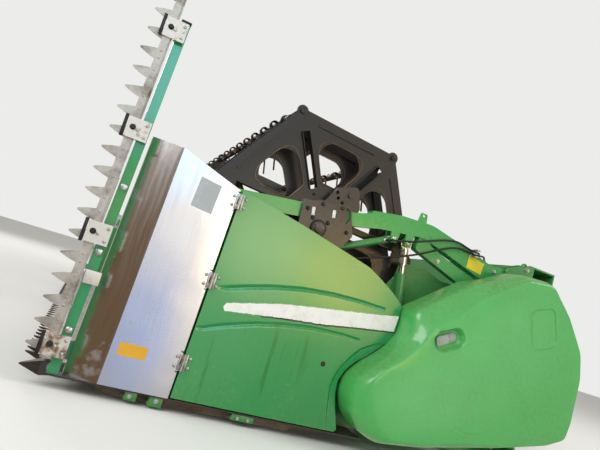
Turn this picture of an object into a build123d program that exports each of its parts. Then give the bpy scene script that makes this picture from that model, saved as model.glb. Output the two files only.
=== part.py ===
"""Grain header of a combine harvester, with an extension table and upright side knives for rapeseed."""

import os
from math import atan2, ceil, cos, degrees, hypot, pi, radians, sin, tan

from build123d import *

os.makedirs("parts", exist_ok=True)

# Frame: +X to the header's left end, +Y to the rear, +Z up. Millimetres.
# Y is measured from the front corner of the side boxes and Z from the ground; the last lines move
# everything so that the origin is under the middle of the header.

# Driving sizes of the whole header
WIDTH = 5500.0  # over the side boxes and side panels
HALF = WIDTH / 2
FRONT_Y = -256.0  # tips of the knife guards
REAR_Y = 2020.0  # back edge of the end shields
RUNNING_GAP = 0.3  # between a seated or turning piece and its seat
PLATE = 4.0  # sheet of the walls and floor

# Crop space: floor, trough and walls
WALL_X = HALF - 150.0  # inner face of the end walls
WALL_TOP = 700.0
FLOOR_Z = 62.0
AUGER_Y = 1475.0
AUGER_R = 305.0  # over the flights
AUGER_TUBE_R = 150.0
STUB_R = 25.0
TROUGH_GAP = 20.0
TROUGH_R = AUGER_R + TROUGH_GAP
AUGER_Z = FLOOR_Z + TROUGH_R
BACK_Y = AUGER_Y + TROUGH_R
BACK_TOP = 850.0
FEED_HALF = 620.0  # half the feed opening's width
FEED_LOW, FEED_HIGH = 110.0, 650.0
TABLE_FRONT = -150.0

# Rear frame
BEAM = 146.0
BEAM_Z = 858.0
BEAM_Y = BACK_Y + PLATE + 2
LOW_BEAM_Z, LOW_BEAM_H = 20.0, 120.0
FRAME_REAR = BEAM_Y + BEAM
DRIVE_Y, DRIVE_Z, DRIVE_R = FRAME_REAR - 60, 420.0, 22.0
DRIVE_FROM = FEED_HALF + 240.0
STUB_LONG, NECK_LONG = 60.0, 6.0  # splined end of the drive shaft and the groove behind it
SPLINE_R, NECK_R = 17.45, 15.0

# Knives
PITCH = 76.2
SECTION_DEPTH = 82.0
KNIFE_TOP = 58.0  # top of the guards, on which the main knife slides
KNIFE_LEAN = 1.06  # degrees the side knives lean back
POST_LEAN = 1.32
POST_HIGH = 1355.0
SIDE_SECTIONS = 18
SIDE_TIP_Z = 136.0
BLADE_T, BACK_T = 3.0, 5.0  # blade sections and the bar they are riveted to
CLAMP_Z = [144.0, 534.0, 917.0, 1308.0]
CLAMP_W, CLAMP_H = 80.0, 74.0

# Side boxes, panels and shields
SILL_LOW, SILL_TOP = 44.0, 50.0
BOX_DEEP = 60.0
BOX_LEAN = 1.4
FOLD = 99.0
PANEL_DEEP = 30.0
SHEET = 3.0
HINGE_LEAN = 1.6
SHIELD_OUT = 150.0
SHIELD_IN = 30.0
SHIELD_PIN = (HALF - 5.0, 1950.0)
SHIELD_MIDDLE = (1450.0, 420.0)
SHIELD_WALL = 8.0
ROUND_DEEP, ROUND_WIDE = 90.0, 110.0  # rounding from the rim to the side: along X, and inwards
LATCH_AT, LATCH_SIZE, LATCH_DEEP = (1248.0, 537.0), (150.0, 88.0), 26.0
BADGE_AT, BADGE_SIZE, BADGE_DEEP = (1720.0, 702.0), (150.0, 184.0), 2.5

# Reel
REEL_Y, REEL_Z = 640.0, 818.0
REEL_R = 485.0
CRANK_Y, CRANK_Z = 35.0, 44.0
BAT_ANGLE = 116.2
BATS = 6
BAT_R = 17.0
REEL_TUBE_R = 75.0
SPIDER_END = WALL_X - 120.0
SPIDER_X = [SPIDER_END * k / 2 for k in (-2, -1, 0, 1, 2)]
SPIDER_T = 4.0
CAM_X = WALL_X - 38.0
CAM_HUB_R = 95.0
TINE_PITCH = 150.0
TINE_DROP, TINE_BACK = 210.0, 35.0

# Reel arms and what carries the reel on them
PIVOT_Y, PIVOT_Z = 1674.0, 910.0
BOSS_R = 36.0
ARM_X, ARM_W, ARM_DEEP = WALL_X + 37.0, 50.0, 80.0
ARM_FRONT_DEEP = 62.0
ARM_SLOPE = 8.52
PIN = 8.0
EYE_PLAY = 10.0  # room in the rod eyes, whose pins the reel carries
RAM_R, ROD_R = 21.0, 14.0
SLIDE_RAM_R, SLIDE_ROD_R = 16.0, 9.0
LIFT_FOOT = (1175.0, 310.0)
LIFT_HEAD = (1085.0, 894.0)
SLIDE_FOOT = (1010.0, 894.0)
SLIDE_HEAD = (600.0, 693.0)

parts = {}


def section(rows):
    """Flat face in XY from rows of (a, b, corner radius)."""
    face = make_face(Polyline(*[(a, b) for a, b, _ in rows], close=True))
    for a, b, radius in rows:
        if radius:
            corner = face.vertices().sort_by_distance((a, b, 0))[0]
            face = fillet(corner, radius)
    return face


def prism(face, x0, x1):
    """Solid with a face drawn in (Y, Z), from x0 to x1."""
    return extrude(Plane.YZ.offset(x0) * face, x1 - x0)


def sharp(points):
    return section([(a, b, 0) for a, b in points])


def bar(x0, x1, y0, y1, z0, z1):
    return Pos((x0 + x1) / 2, (y0 + y1) / 2, (z0 + z1) / 2) * Box(x1 - x0, y1 - y0, z1 - z0)


def round_x(y, z, radius, x0, x1):
    return Pos((x0 + x1) / 2, y, z) * Rot(0, 90, 0) * Cylinder(radius, x1 - x0)


def tube_x(y, z, radius, wall, x0, x1):
    return round_x(y, z, radius, x0, x1) - round_x(y, z, radius - wall, x0 - 1, x1 + 1)


def rod_between(a, b, x, radius):
    """Round bar in the plane at x, from point a to point b, each (y, z)."""
    length = hypot(b[0] - a[0], b[1] - a[1])
    plane = Plane(origin=(x, a[0], a[1]), z_dir=(0, b[0] - a[0], b[1] - a[1]))
    return extrude(plane * Circle(radius), length)


def along(a, b, distance):
    length = hypot(b[0] - a[0], b[1] - a[1])
    return (a[0] + (b[0] - a[0]) * distance / length, a[1] + (b[1] - a[1]) * distance / length)


def pair(name, solid):
    """Keeps a left piece and its mirror image for the right end."""
    parts[name + "_left"] = solid
    parts[name + "_right"] = mirror(solid, about=Plane.YZ)


# Table, trough and back wall

table = bar(-WALL_X, WALL_X, TABLE_FRONT, AUGER_Y - 400, FLOOR_Z - PLATE, FLOOR_Z)
lip = bar(-WALL_X, WALL_X, TABLE_FRONT, TABLE_FRONT + PLATE, FLOOR_Z - 30, FLOOR_Z)
parts["extension_table"] = table + lip

trough_outer = Pos(AUGER_Y, AUGER_Z) * Circle(TROUGH_R + PLATE)
trough_inner = Pos(AUGER_Y, AUGER_Z) * Circle(TROUGH_R)
quarter = Pos(AUGER_Y + TROUGH_R, AUGER_Z - TROUGH_R) * Rectangle(2 * TROUGH_R, 2 * TROUGH_R)
flat = Pos(AUGER_Y - 200, FLOOR_Z - PLATE / 2) * Rectangle(400, PLATE)
trough = prism((trough_outer - trough_inner) & quarter, -WALL_X, WALL_X) + prism(flat, -WALL_X, WALL_X)
feed = bar(-FEED_HALF, FEED_HALF, AUGER_Y + 100, BACK_Y + 50, FEED_LOW, FEED_HIGH)
parts["auger_trough"] = trough - feed

wall = bar(-WALL_X, WALL_X, BACK_Y, BACK_Y + PLATE, AUGER_Z, BACK_TOP)
parts["back_wall"] = wall - feed

# Rear frame with the interface to the feeder house

top_beam = bar(-WALL_X - 78, WALL_X + 78, BEAM_Y, FRAME_REAR, BEAM_Z, BEAM_Z + BEAM)
top_beam -= bar(-WALL_X - 79, WALL_X + 79, BEAM_Y + 8, FRAME_REAR - 8, BEAM_Z + 8, BEAM_Z + BEAM - 8)
parts["top_beam"] = top_beam

low_beam = bar(-WALL_X - 78, WALL_X + 78, BEAM_Y, FRAME_REAR, LOW_BEAM_Z, LOW_BEAM_Z + LOW_BEAM_H)
low_beam -= bar(
    -WALL_X - 79, WALL_X + 79, BEAM_Y + 8, FRAME_REAR - 8, LOW_BEAM_Z + 8, LOW_BEAM_Z + LOW_BEAM_H - 8
)
for side in (-1, 1):
    x = side * (WALL_X - 60)
    low_beam += bar(x - 40, x + 40, BEAM_Y + 20, FRAME_REAR - 20, 0, LOW_BEAM_Z)
parts["low_beam"] = low_beam

ADAPTER_W = 70.0
LOCK_R, LOCK_BUSH_R = 16.0, 28.0
LOCK_Y, LOCK_Z = FRAME_REAR - 45, 180.0
adapter = Part()
for side in (-1, 1):
    inner = side * (FEED_HALF + 10)
    outer = side * (FEED_HALF + 10 + ADAPTER_W)
    x0, x1 = min(inner, outer), max(inner, outer)
    post = bar(x0, x1, BEAM_Y, FRAME_REAR, LOW_BEAM_Z + LOW_BEAM_H, BEAM_Z)
    post -= bar(x0 + 8, x1 - 8, BEAM_Y - 1, FRAME_REAR - 8, LOW_BEAM_Z + LOW_BEAM_H + 8, BEAM_Z - 8)
    post += round_x(LOCK_Y, LOCK_Z, LOCK_BUSH_R, x0, x1)
    post -= round_x(LOCK_Y, LOCK_Z, LOCK_R, x0 - 1, x1 + 1)
    adapter += post
parts["feeder_adapter"] = adapter

# Floor frame, runners and sills

POST_W, POST_DEEP = 40.0, 35.0
post_x = HALF - 50.0

FRAME_TOP = FLOOR_Z - PLATE
floor_frame = bar(-WALL_X, WALL_X, -60, 0, 14, FRAME_TOP)
for y in (520.0, 1060.0):
    floor_frame += bar(-WALL_X, WALL_X, y, y + 50, 14, FRAME_TOP)
for k in range(-3, 4):
    x = k * (WALL_X - 200) / 3
    floor_frame += bar(x - 20, x + 20, -60, AUGER_Y - 175, 22, FRAME_TOP)
parts["floor_frame"] = floor_frame

runner_rows = [
    (8.0, 13.0, 0),
    (60.0, 0.0, 0),
    (762.0, 0.0, 0),
    (800.0, 22.0, 0),
    (800.0, SILL_LOW, 0),
    (8.0, SILL_LOW, 0),
]
runner = prism(section(runner_rows), WALL_X, WALL_X + 60)
parts["runners"] = Part() + [runner, mirror(runner, about=Plane.YZ)]

sill_plan = [
    (WALL_X, -FOLD, 0),
    (post_x - 4, -FOLD, 0),
    (post_x - 4, -165.0, 0),
    (post_x + POST_W + 6, -165.0, 0),
    (post_x + POST_W + 6, 1060.0, 20),
    (WALL_X, 1060.0, 0),
]
sill = extrude(Pos(0, 0, SILL_LOW) * section(sill_plan), SILL_TOP - SILL_LOW)
shoe_side = [(-150.0, 44.0, 0), (-185.0, 37.0, 8), (-254.0, 56.0, 0), (-252.0, 60.0, 0), (-185.0, 86.0, 15)]
shoe_side += [(-168.0, 80.0, 0), (-168.0, SILL_TOP, 0), (-150.0, SILL_TOP, 0)]
shoe_plan = [(post_x - 4, -150), (post_x - 4, -190), (post_x + 15, -256), (post_x + 22, -256)]
shoe_plan += [(post_x + POST_W + 1, -190), (post_x + POST_W + 1, -150)]
shoe = prism(section(shoe_side), post_x - 10, post_x + POST_W + 10) & extrude(sharp(shoe_plan), 100)
sill += shoe
parts["side_sills"] = Part() + [sill, mirror(sill, about=Plane.YZ)]

# End walls

end_wall_rows = [
    (-FOLD, 50.0, 0),
    (1780.0, 50.0, 0),
    (BACK_Y + PLATE, 90.0, 0),
    (BACK_Y + PLATE, BACK_TOP, 0),
    (1500.0, 800.0, 0),
    (1345.0, 790.0, 40),
    (1258.0, 818.0, 20),
    (1105.0, 812.0, 20),
    (1085.0, 610.0, 30),
    (1000.0, 610.0, 30),
    (885.0, WALL_TOP, 20),
    (-FOLD + 18, WALL_TOP, 0),
]
end_wall = prism(section(end_wall_rows), WALL_X, WALL_X + PLATE)
lean_back = 850 * tan(radians(BOX_LEAN))
front_flange = [(-FOLD, 50), (-FOLD + PLATE, 50), (-FOLD + PLATE + lean_back, 900), (-FOLD + lean_back, 900)]
end_wall += prism(sharp(front_flange), WALL_X, HALF - FOLD)
end_wall += round_x(AUGER_Y, AUGER_Z, 90, WALL_X, WALL_X + 24)
end_wall -= round_x(AUGER_Y, AUGER_Z, STUB_R + RUNNING_GAP, WALL_X - 1, WALL_X + 40)
end_wall += round_x(*LIFT_FOOT, 26, WALL_X, ARM_X - 14)
end_wall += round_x(*LIFT_FOOT, PIN, WALL_X, ARM_X + 22)
pair("end_wall", end_wall)

# Side boxes: stainless housings at the front of each end, folded back at 45 degrees

box_plan = [(HALF, 0.0), (HALF, 400.0), (HALF - BOX_DEEP, 400.0), (HALF - BOX_DEEP, -BOX_DEEP + 12)]
box_plan += [(HALF - FOLD, -FOLD + 12), (HALF - FOLD, -FOLD)]
box_side_rows = [(-300.0, 50.0), (246.0, 50.0), (266.0, 842.0), (21.0, 917.0), (-300.0, 938.0)]


def box_shape(wall):
    """The box without its walls' thickness, or its hollow when wall is over 0."""
    block = extrude(offset(sharp(box_plan), -wall), 1200) if wall else extrude(sharp(box_plan), 1200)
    block = Pos(0, 0, 50) * Rot(-BOX_LEAN, 0, 0) * Pos(0, 0, -100) * block
    side_face = sharp(box_side_rows)
    if wall:
        side_face = offset(side_face, -wall)
    return block & prism(side_face, HALF - 200, HALF + 10)


side_box = box_shape(0) - box_shape(SHEET)
for z in (150.0, 640.0):
    side_box += bar(WALL_X + PLATE, HALF - BOX_DEEP, 40, 80, z, z + 6)

# Side panels: pressed doors hinged to the side boxes

hinge_foot = (252.0, 53.0)


def hinge_y(z):
    return hinge_foot[0] + (z - hinge_foot[1]) * tan(radians(HINGE_LEAN))


panel_rows = [
    (hinge_y(55) + 1, 55.0, 0),
    (941.0, 58.0, 25),
    (908.0, 160.0, 60),
    (910.0, 242.0, 60),
    (973.0, 371.0, 200),
    (1064.0, 604.0, 8),
    (948.0, 680.0, 60),
    (892.0, 728.0, 60),
    (hinge_y(841) + 1, 841.0, 0),
]
panel_face = section(panel_rows)
panel = prism(panel_face, HALF - PANEL_DEEP, HALF)
panel_inside = offset(panel_face, -SHEET, kind=Kind.INTERSECTION)
panel -= prism(panel_inside, HALF - PANEL_DEEP - 1, HALF - SHEET)
RIB_DEEP = 1.5
for low, mid, high in (
    ((322, 478), (502, 539), (967, 582)),
    ((278, 324), (537, 411), (894, 436)),
):
    groove = make_face(SlotArc(ThreePointArc(low, mid, high), 9).edges())
    bead = make_face(SlotArc(ThreePointArc(low, mid, high), 9 + 2 * SHEET).edges())
    panel += prism(bead, HALF - SHEET - RIB_DEEP, HALF - SHEET / 2)
    panel -= prism(groove, HALF - RIB_DEEP, HALF + 1)
border_rows = [
    (1090.0, 486.0, 0),
    (1008.0, 454.0, 60),
    (877.0, 369.0, 80),
    (822.0, 293.0, 60),
    (829.0, 204.0, 80),
    (890.0, 30.0, 0),
    (1200.0, 30.0, 0),
    (1200.0, 486.0, 0),
]
border = section(border_rows)
panel += prism(panel_face & offset(border, SHEET, kind=Kind.INTERSECTION), HALF - 2 * SHEET, HALF - SHEET)
panel -= prism(border, HALF - SHEET, HALF + 1)
HINGE_X = HALF + 9.0
HINGE_R = 7.0
HINGE_L = 60.0
hinge_z = [183.0, 490.0, 798.0]
leaves = Part()
barrels = Part()
for z in hinge_z:
    place = Pos(HINGE_X, hinge_y(z), z) * Rot(-HINGE_LEAN, 0, 0)
    barrels += place * Cylinder(HINGE_R, HINGE_L / 3)
    for side in (-1, 1):
        leaves += place * Pos(0, 0, side * HINGE_L / 3) * Cylinder(HINGE_R, HINGE_L / 3 - 1)
    front = place * Pos(-HINGE_X + HALF + 2, -9, 0) * Box(4, 12, HINGE_L)
    front -= place * Pos(-HINGE_X + HALF + 2, 0, 0) * Box(8, 18, HINGE_L / 3 + 1)
    leaves += front
    rear = place * Pos(-HINGE_X + HALF + 2, 9, 0) * Box(4, 12, HINGE_L)
    rear -= place * Pos(-HINGE_X + HALF + 2, 0, HINGE_L / 3 + 5) * Box(8, 18, HINGE_L / 3 + 10)
    rear -= place * Pos(-HINGE_X + HALF + 2, 0, -HINGE_L / 3 - 5) * Box(8, 18, HINGE_L / 3 + 10)
    barrels += rear
pair("side_panel", panel + barrels)
pair("side_box", side_box + leaves)

# End shields: moulded covers over the drives

# Columns: y, z, radius of the corner, and how much of the rounding's full width the corner has.
shield_rows = [
    (1074.0, 612.0, 30, 0.55),
    (982.0, 372.0, 200, 1.0),
    (919.0, 240.0, 60, 1.0),
    (917.0, 160.0, 60, 1.0),
    (955.0, 66.0, 30, 0.7),
    (1250.0, 84.0, 300, 0.4),
    (1640.0, 148.0, 300, 0.3),
    (1905.0, 212.0, 150, 0.2),
    (2006.0, 258.0, 40, 0.14),
    (REAR_Y, 340.0, 60, 0.12),
    (REAR_Y, 540.0, 150, 0.12),
    (1990.0, 655.0, 150, 0.12),
    (1876.0, 800.0, 200, 0.15),
    (1752.0, 924.0, 50, 0.25),
    (1600.0, 914.0, 60, 0.35),
    (1480.0, 852.0, 100, 0.45),
    (1347.0, 798.0, 150, 0.5),
]


def shield_section(inset, wall=0.0):
    """Outline of the shield, each corner drawn in by its share of inset and by the wall's thickness."""
    rows = []
    for y, z, radius, share in shield_rows:
        away = hypot(y - SHIELD_MIDDLE[0], z - SHIELD_MIDDLE[1])
        left = 1 - (inset * share + wall) / away
        at_y = SHIELD_MIDDLE[0] + (y - SHIELD_MIDDLE[0]) * left
        at_z = SHIELD_MIDDLE[1] + (z - SHIELD_MIDDLE[1]) * left
        rows.append((at_y, at_z, radius * left))
    return section(rows)


def shield_body(wall):
    """Solid from the open rim to the side, or its hollow when wall is over 0."""
    faces = [Plane.YZ.offset(HALF - SHIELD_IN - wall) * shield_section(0, wall)]
    for angle in (0, 24, 44, 62, 78, 90):
        x = HALF + SHIELD_OUT - ROUND_DEEP * (1 - sin(radians(angle))) - wall
        faces.append(Plane.YZ.offset(x) * shield_section(ROUND_WIDE * (1 - cos(radians(angle))), wall))
    return loft(Sketch() + faces, ruled=True)


def latch_recess(grow):
    face = Pos(*LATCH_AT) * Rot(0, 0, 24) * SlotOverall(LATCH_SIZE[0] + 2 * grow, LATCH_SIZE[1] + 2 * grow)
    return prism(face, HALF + SHIELD_OUT - LATCH_DEEP - grow, HALF + SHIELD_OUT + 10)


badge_face = Pos(*BADGE_AT) * Rot(0, 0, 20) * RectangleRounded(*BADGE_SIZE, 60)
PIN_LOW, PIN_HIGH = 290.0, 570.0
shield = shield_body(0) - latch_recess(0) - (shield_body(SHIELD_WALL) - latch_recess(SHIELD_WALL))
shield -= prism(badge_face, HALF + SHIELD_OUT - BADGE_DEEP, HALF + SHIELD_OUT + 10)
for z in (350.0, 490.0):
    knuckle = Pos(*SHIELD_PIN, z) * Cylinder(14, 30)
    knuckle += Pos(SHIELD_PIN[0], (SHIELD_PIN[1] + REAR_Y) / 2, z) * Box(8, REAR_Y - SHIELD_PIN[1] - 10, 30)
    shield += knuckle - Pos(*SHIELD_PIN, z) * Cylinder(PIN + RUNNING_GAP, 40)
pair("end_shield", shield)

# Uprights at the ends of the rear frame, which carry the shields' hinge pins

back_post = bar(WALL_X - 40, WALL_X, BEAM_Y, BEAM_Y + 54, LOW_BEAM_Z + LOW_BEAM_H, BEAM_Z)
pin_x, pin_y = SHIELD_PIN
for z in (PIN_LOW, PIN_HIGH - 10):
    back_post += bar(WALL_X, pin_x + 10, BEAM_Y + 34, BEAM_Y + 54, z, z + 10)
    back_post += bar(pin_x - 10, pin_x + 10, BEAM_Y + 34, pin_y + 10, z, z + 10)
back_post += Pos(pin_x, pin_y, (PIN_LOW + PIN_HIGH) / 2) * Cylinder(PIN, PIN_HIGH - PIN_LOW)
parts["back_posts"] = Part() + [back_post, mirror(back_post, about=Plane.YZ)]

# Side knives, their posts and the clamps that guide them


def post_y(z):
    return -143.0 + (z - 178) * tan(radians(POST_LEAN))


def knife_y(z):
    return FRONT_Y + (z - SIDE_TIP_Z) * tan(radians(KNIFE_LEAN))


side_post = bar(post_x, post_x + POST_W, -POST_DEEP / 2, POST_DEEP / 2, -10, POST_HIGH - SILL_TOP)
side_post = Pos(0, post_y(SILL_TOP), SILL_TOP) * Rot(-POST_LEAN, 0, 0) * side_post
side_post -= bar(post_x - 1, post_x + POST_W + 1, -300, 0, 0, SILL_TOP)
motor_y = post_y(SIDE_TIP_Z)
side_post += round_x(motor_y, SIDE_TIP_Z - 8, 30, post_x - 70, post_x + 2)
side_post += bar(post_x - 12, post_x + 2, motor_y - 38, motor_y + 38, SIDE_TIP_Z - 40, SIDE_TIP_Z + 24)

KNIFE_X = HALF - 4.0
KNIFE_OUT = KNIFE_X + BLADE_T + BACK_T
BAR_FRONT, BAR_BACK, BLADE_BACK = SECTION_DEPTH - 26, SECTION_DEPTH, SECTION_DEPTH + 8
TOOTH = ((BAR_FRONT, 20.0), (28.0, 13.0), (0.0, 3.0))  # depth from the tip, and half the width there
teeth = []
for k in range(SIDE_SECTIONS):
    teeth += [(depth, k * PITCH - half) for depth, half in TOOTH]
    teeth += [(depth, k * PITCH + half) for depth, half in reversed(TOOTH)]
knife_top = (SIDE_SECTIONS - 0.5) * PITCH
teeth += [(BAR_FRONT, knife_top), (BLADE_BACK, knife_top), (BLADE_BACK, -PITCH / 2), (BAR_FRONT, -PITCH / 2)]
side_knife = prism(sharp(teeth), KNIFE_X, KNIFE_X + BLADE_T)
side_knife += bar(KNIFE_X + BLADE_T, KNIFE_OUT, BAR_FRONT, BAR_BACK, -PITCH / 2, knife_top)
pair("side_knife", Pos(0, FRONT_Y, SIDE_TIP_Z) * Rot(-KNIFE_LEAN, 0, 0) * side_knife)

clamps = Part()
for z in CLAMP_Z:
    front = knife_y(z) + BAR_FRONT - 6
    behind = knife_y(z) + BLADE_BACK + 2
    low, high = z - CLAMP_H / 2, z + CLAMP_H / 2
    side_post += bar(post_x + POST_W - 1, KNIFE_OUT, behind, front + CLAMP_W, low, high)
    clamps += bar(KNIFE_OUT + RUNNING_GAP, KNIFE_OUT + 6, front, front + CLAMP_W, low, high)
pair("side_post", side_post)
parts["knife_clamps"] = Part() + [clamps, mirror(clamps, about=Plane.YZ)]

# Main knife and its guards

KNIFE_HALF = WALL_X - 20
GUARD_BACK = -190.0
GUARDS = int(2 * KNIFE_HALF / PITCH)
guard_plan = []
first = -(GUARDS - 1) * PITCH / 2
for k in range(GUARDS):
    x = first + k * PITCH
    guard_plan += [(x - 15, GUARD_BACK), (x - 12, -215), (x - 3, FRONT_Y), (x + 3, FRONT_Y)]
    guard_plan += [(x + 12, -215), (x + 15, GUARD_BACK)]
guard_plan += [(KNIFE_HALF, GUARD_BACK), (KNIFE_HALF, TABLE_FRONT), (-KNIFE_HALF, TABLE_FRONT)]
guard_plan += [(-KNIFE_HALF, GUARD_BACK)]
guard_side = [(TABLE_FRONT, KNIFE_TOP), (FRONT_Y, KNIFE_TOP), (FRONT_Y, KNIFE_TOP - 4), (-205, KNIFE_TOP - 22)]
guard_side += [(GUARD_BACK, KNIFE_TOP - 22), (GUARD_BACK + 6, KNIFE_TOP - 12), (TABLE_FRONT, KNIFE_TOP - 12)]
guards = extrude(sharp(guard_plan), KNIFE_TOP) & prism(sharp(guard_side), -KNIFE_HALF, KNIFE_HALF)
parts["knife_guards"] = guards

blade_points = []
BLADES = GUARDS - 2
first = -(BLADES - 1) * PITCH / 2
for k in range(BLADES):
    x = first + k * PITCH
    blade_points += [(x - PITCH / 2, -180), (x - 6, -240), (x + 6, -240)]
blade_points += [(first + (BLADES - 0.5) * PITCH, -180), (first + (BLADES - 0.5) * PITCH, TABLE_FRONT - 4)]
blade_points += [(first - 0.5 * PITCH, TABLE_FRONT - 4)]
parts["main_knife"] = extrude(Pos(0, 0, KNIFE_TOP + RUNNING_GAP) * sharp(blade_points), BLADE_T)

# Auger

AUGER_HALF = WALL_X - 12
drum = tube_x(AUGER_Y, AUGER_Z, AUGER_TUBE_R, 6, -AUGER_HALF, AUGER_HALF)
for side in (-1, 1):
    x = side * (AUGER_HALF - 5)
    drum += round_x(AUGER_Y, AUGER_Z, AUGER_TUBE_R - 3, x - 4, x + 4)
    drum += round_x(AUGER_Y, AUGER_Z, STUB_R, min(x, side * (WALL_X + 22)), max(x, side * (WALL_X + 22)))
    hand_hole = Pos(side * 300, AUGER_Y, AUGER_Z) * Cylinder(60, 2 * AUGER_TUBE_R + 20)
    drum -= hand_hole
FINGERS = 18
FINGER_R = 8.0
for k in range(FINGERS):
    x = (k - (FINGERS - 1) / 2) * 64
    turn = Pos(x, AUGER_Y, AUGER_Z) * Rot(k * 80, 0, 0)
    drum += turn * Pos(0, 0, (AUGER_TUBE_R + AUGER_R) / 2 - 8) * Cylinder(FINGER_R, AUGER_R - AUGER_TUBE_R - 16)
parts["auger_drum"] = drum

FLIGHT_PITCH = 520.0
FLIGHT_STEPS = 24
FLIGHT_T = 6.0
FLIGHT_FROM = 640.0


def faceted(rings):
    """Closed solid from rings of four points each, joined by flat triangles."""
    faces = []

    def triangle(a, b, c):
        faces.append(make_face(Polyline(a, b, c, close=True)).face())

    for ring, following in zip(rings, rings[1:]):
        for k in range(4):
            a, b = ring[k], ring[(k + 1) % 4]
            c, d = following[(k + 1) % 4], following[k]
            triangle(a, b, c)
            triangle(a, c, d)
    for ring in (rings[0], rings[-1]):
        triangle(ring[0], ring[1], ring[2])
        triangle(ring[0], ring[2], ring[3])
    return Solid(Shell(faces))


def flight(side):
    """Helical flight that moves crop from one end to the feed opening."""
    inner = (AUGER_TUBE_R + RUNNING_GAP) / cos(pi / FLIGHT_STEPS)
    length = AUGER_HALF - FLIGHT_FROM
    steps = ceil(length / FLIGHT_PITCH * FLIGHT_STEPS)
    rings = []
    for k in range(steps + 1):
        x = side * (FLIGHT_FROM + length * k / steps)
        turn = side * 2 * pi * length * k / steps / FLIGHT_PITCH
        ring = []
        for radius, dx in ((inner, 0), (AUGER_R, 0), (AUGER_R, FLIGHT_T), (inner, FLIGHT_T)):
            ring.append(
                (x - side * dx, AUGER_Y + radius * cos(turn), AUGER_Z + radius * sin(turn))
            )
        rings.append(ring)
    return faceted(rings)


parts["auger_flights"] = Part() + [flight(-1), flight(1)]

# Reel: tube, spiders, cam spider and six bats with spring tines


def bat_place(k):
    angle = radians(BAT_ANGLE + 60 * k)
    return (REEL_R * cos(angle), REEL_R * sin(angle))


WEB = 68.0
SPOKE = 46.0
SLOT = 16.0
RING_R = 27.0


def sector_cut(k):
    """Rounded three-sided hole between two spokes."""
    apothem = REEL_R * cos(pi / 6) - WEB
    mid = BAT_ANGLE + 60 * k + 30
    hub = 105.0
    half_out = apothem * tan(pi / 6) - SPOKE / cos(pi / 6)
    half_in = max(hub * tan(pi / 6) - SPOKE / cos(pi / 6) + 40, 20)
    rows = [
        (hub + 60, -half_in, 25),
        (apothem, -half_out, 70),
        (apothem, half_out, 70),
        (hub + 60, half_in, 25),
    ]
    return Rot(0, 0, mid) * section(rows)


def spider_face(bore, ring_bore, slots):
    corners = [
        (1.03 * y, 1.03 * z, 0) for y, z in (bat_place(k) for k in range(BATS))
    ]
    face = section(corners)
    for k in range(BATS):
        face -= sector_cut(k)
        face += Pos(*bat_place(k)) * Circle(RING_R)
    for k in range(BATS):
        face -= Pos(*bat_place(k)) * Circle(ring_bore)
        if slots:
            slot = Pos(REEL_R * 0.56, 0) * Rectangle(REEL_R * 0.52, 2 * SLOT)
            face -= Rot(0, 0, BAT_ANGLE + 60 * k) * slot
    return face - Circle(bore)


RIB_IN, RIB_WIDE, RIB_HIGH = 26.0, 9.0, 4.0


def edge_ribs():
    """Pressed ribs that stiffen the plate along its outer edges."""
    ribs = Sketch()
    for k in range(BATS):
        place = Rot(0, 0, BAT_ANGLE + 60 * k + 30) * Pos(REEL_R * cos(pi / 6) - RIB_IN, 0)
        ribs += place * SlotOverall(REEL_R * 0.62, RIB_WIDE, rotation=90)
    return ribs


main_face = Pos(REEL_Y, REEL_Z) * spider_face(REEL_TUBE_R + RUNNING_GAP, BAT_R + RUNNING_GAP, False)
rib_face = Pos(REEL_Y, REEL_Z) * edge_ribs()
spiders = Part()
for x in SPIDER_X:
    spiders += prism(main_face, x - SPIDER_T / 2, x + SPIDER_T / 2)
    spiders += prism(rib_face, x, x + SPIDER_T / 2 + RIB_HIGH)
parts["reel_spiders"] = spiders

CAM_Y, CAM_Z = REEL_Y + CRANK_Y, REEL_Z + CRANK_Z
PIN_R = 10.0
cam_face = Pos(CAM_Y, CAM_Z) * spider_face(CAM_HUB_R + RUNNING_GAP, PIN_R + RUNNING_GAP, True)
cam_spider = prism(cam_face, CAM_X, CAM_X + SPIDER_T)
cam_spider += prism(Pos(CAM_Y, CAM_Z) * edge_ribs(), CAM_X + SPIDER_T / 2, CAM_X + SPIDER_T + RIB_HIGH)
for k in range(BATS):
    spoke = Pos(0, CAM_Y, CAM_Z) * Rot(BAT_ANGLE + 60 * k, 0, 0)
    for side in (-1, 1):
        across = side * (SLOT + 2)
        cam_spider += spoke * bar(
            CAM_X + 1, CAM_X + SPIDER_T + 10, REEL_R * 0.3, REEL_R * 0.82, across - 1.5, across + 1.5
        )
parts["reel_cam_spider"] = cam_spider

SHAFT_R = 18.0
SHAFT_END = HALF - 68.0
reel_tube = tube_x(REEL_Y, REEL_Z, REEL_TUBE_R, 5, SPIDER_X[0] - 20, SPIDER_X[-1] + 20)
DISC_X, DISC_HALF = SPIDER_X[-1] + 10, 5.0
for x in (-DISC_X, DISC_X):
    reel_tube += round_x(REEL_Y, REEL_Z, REEL_TUBE_R - 2, x - DISC_HALF, x + DISC_HALF)
parts["reel_tube"] = reel_tube
shaft = round_x(REEL_Y, REEL_Z, SHAFT_R, DISC_X + DISC_HALF, SHAFT_END)
parts["reel_shafts"] = Part() + [shaft, mirror(shaft, about=Plane.YZ)]

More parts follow.
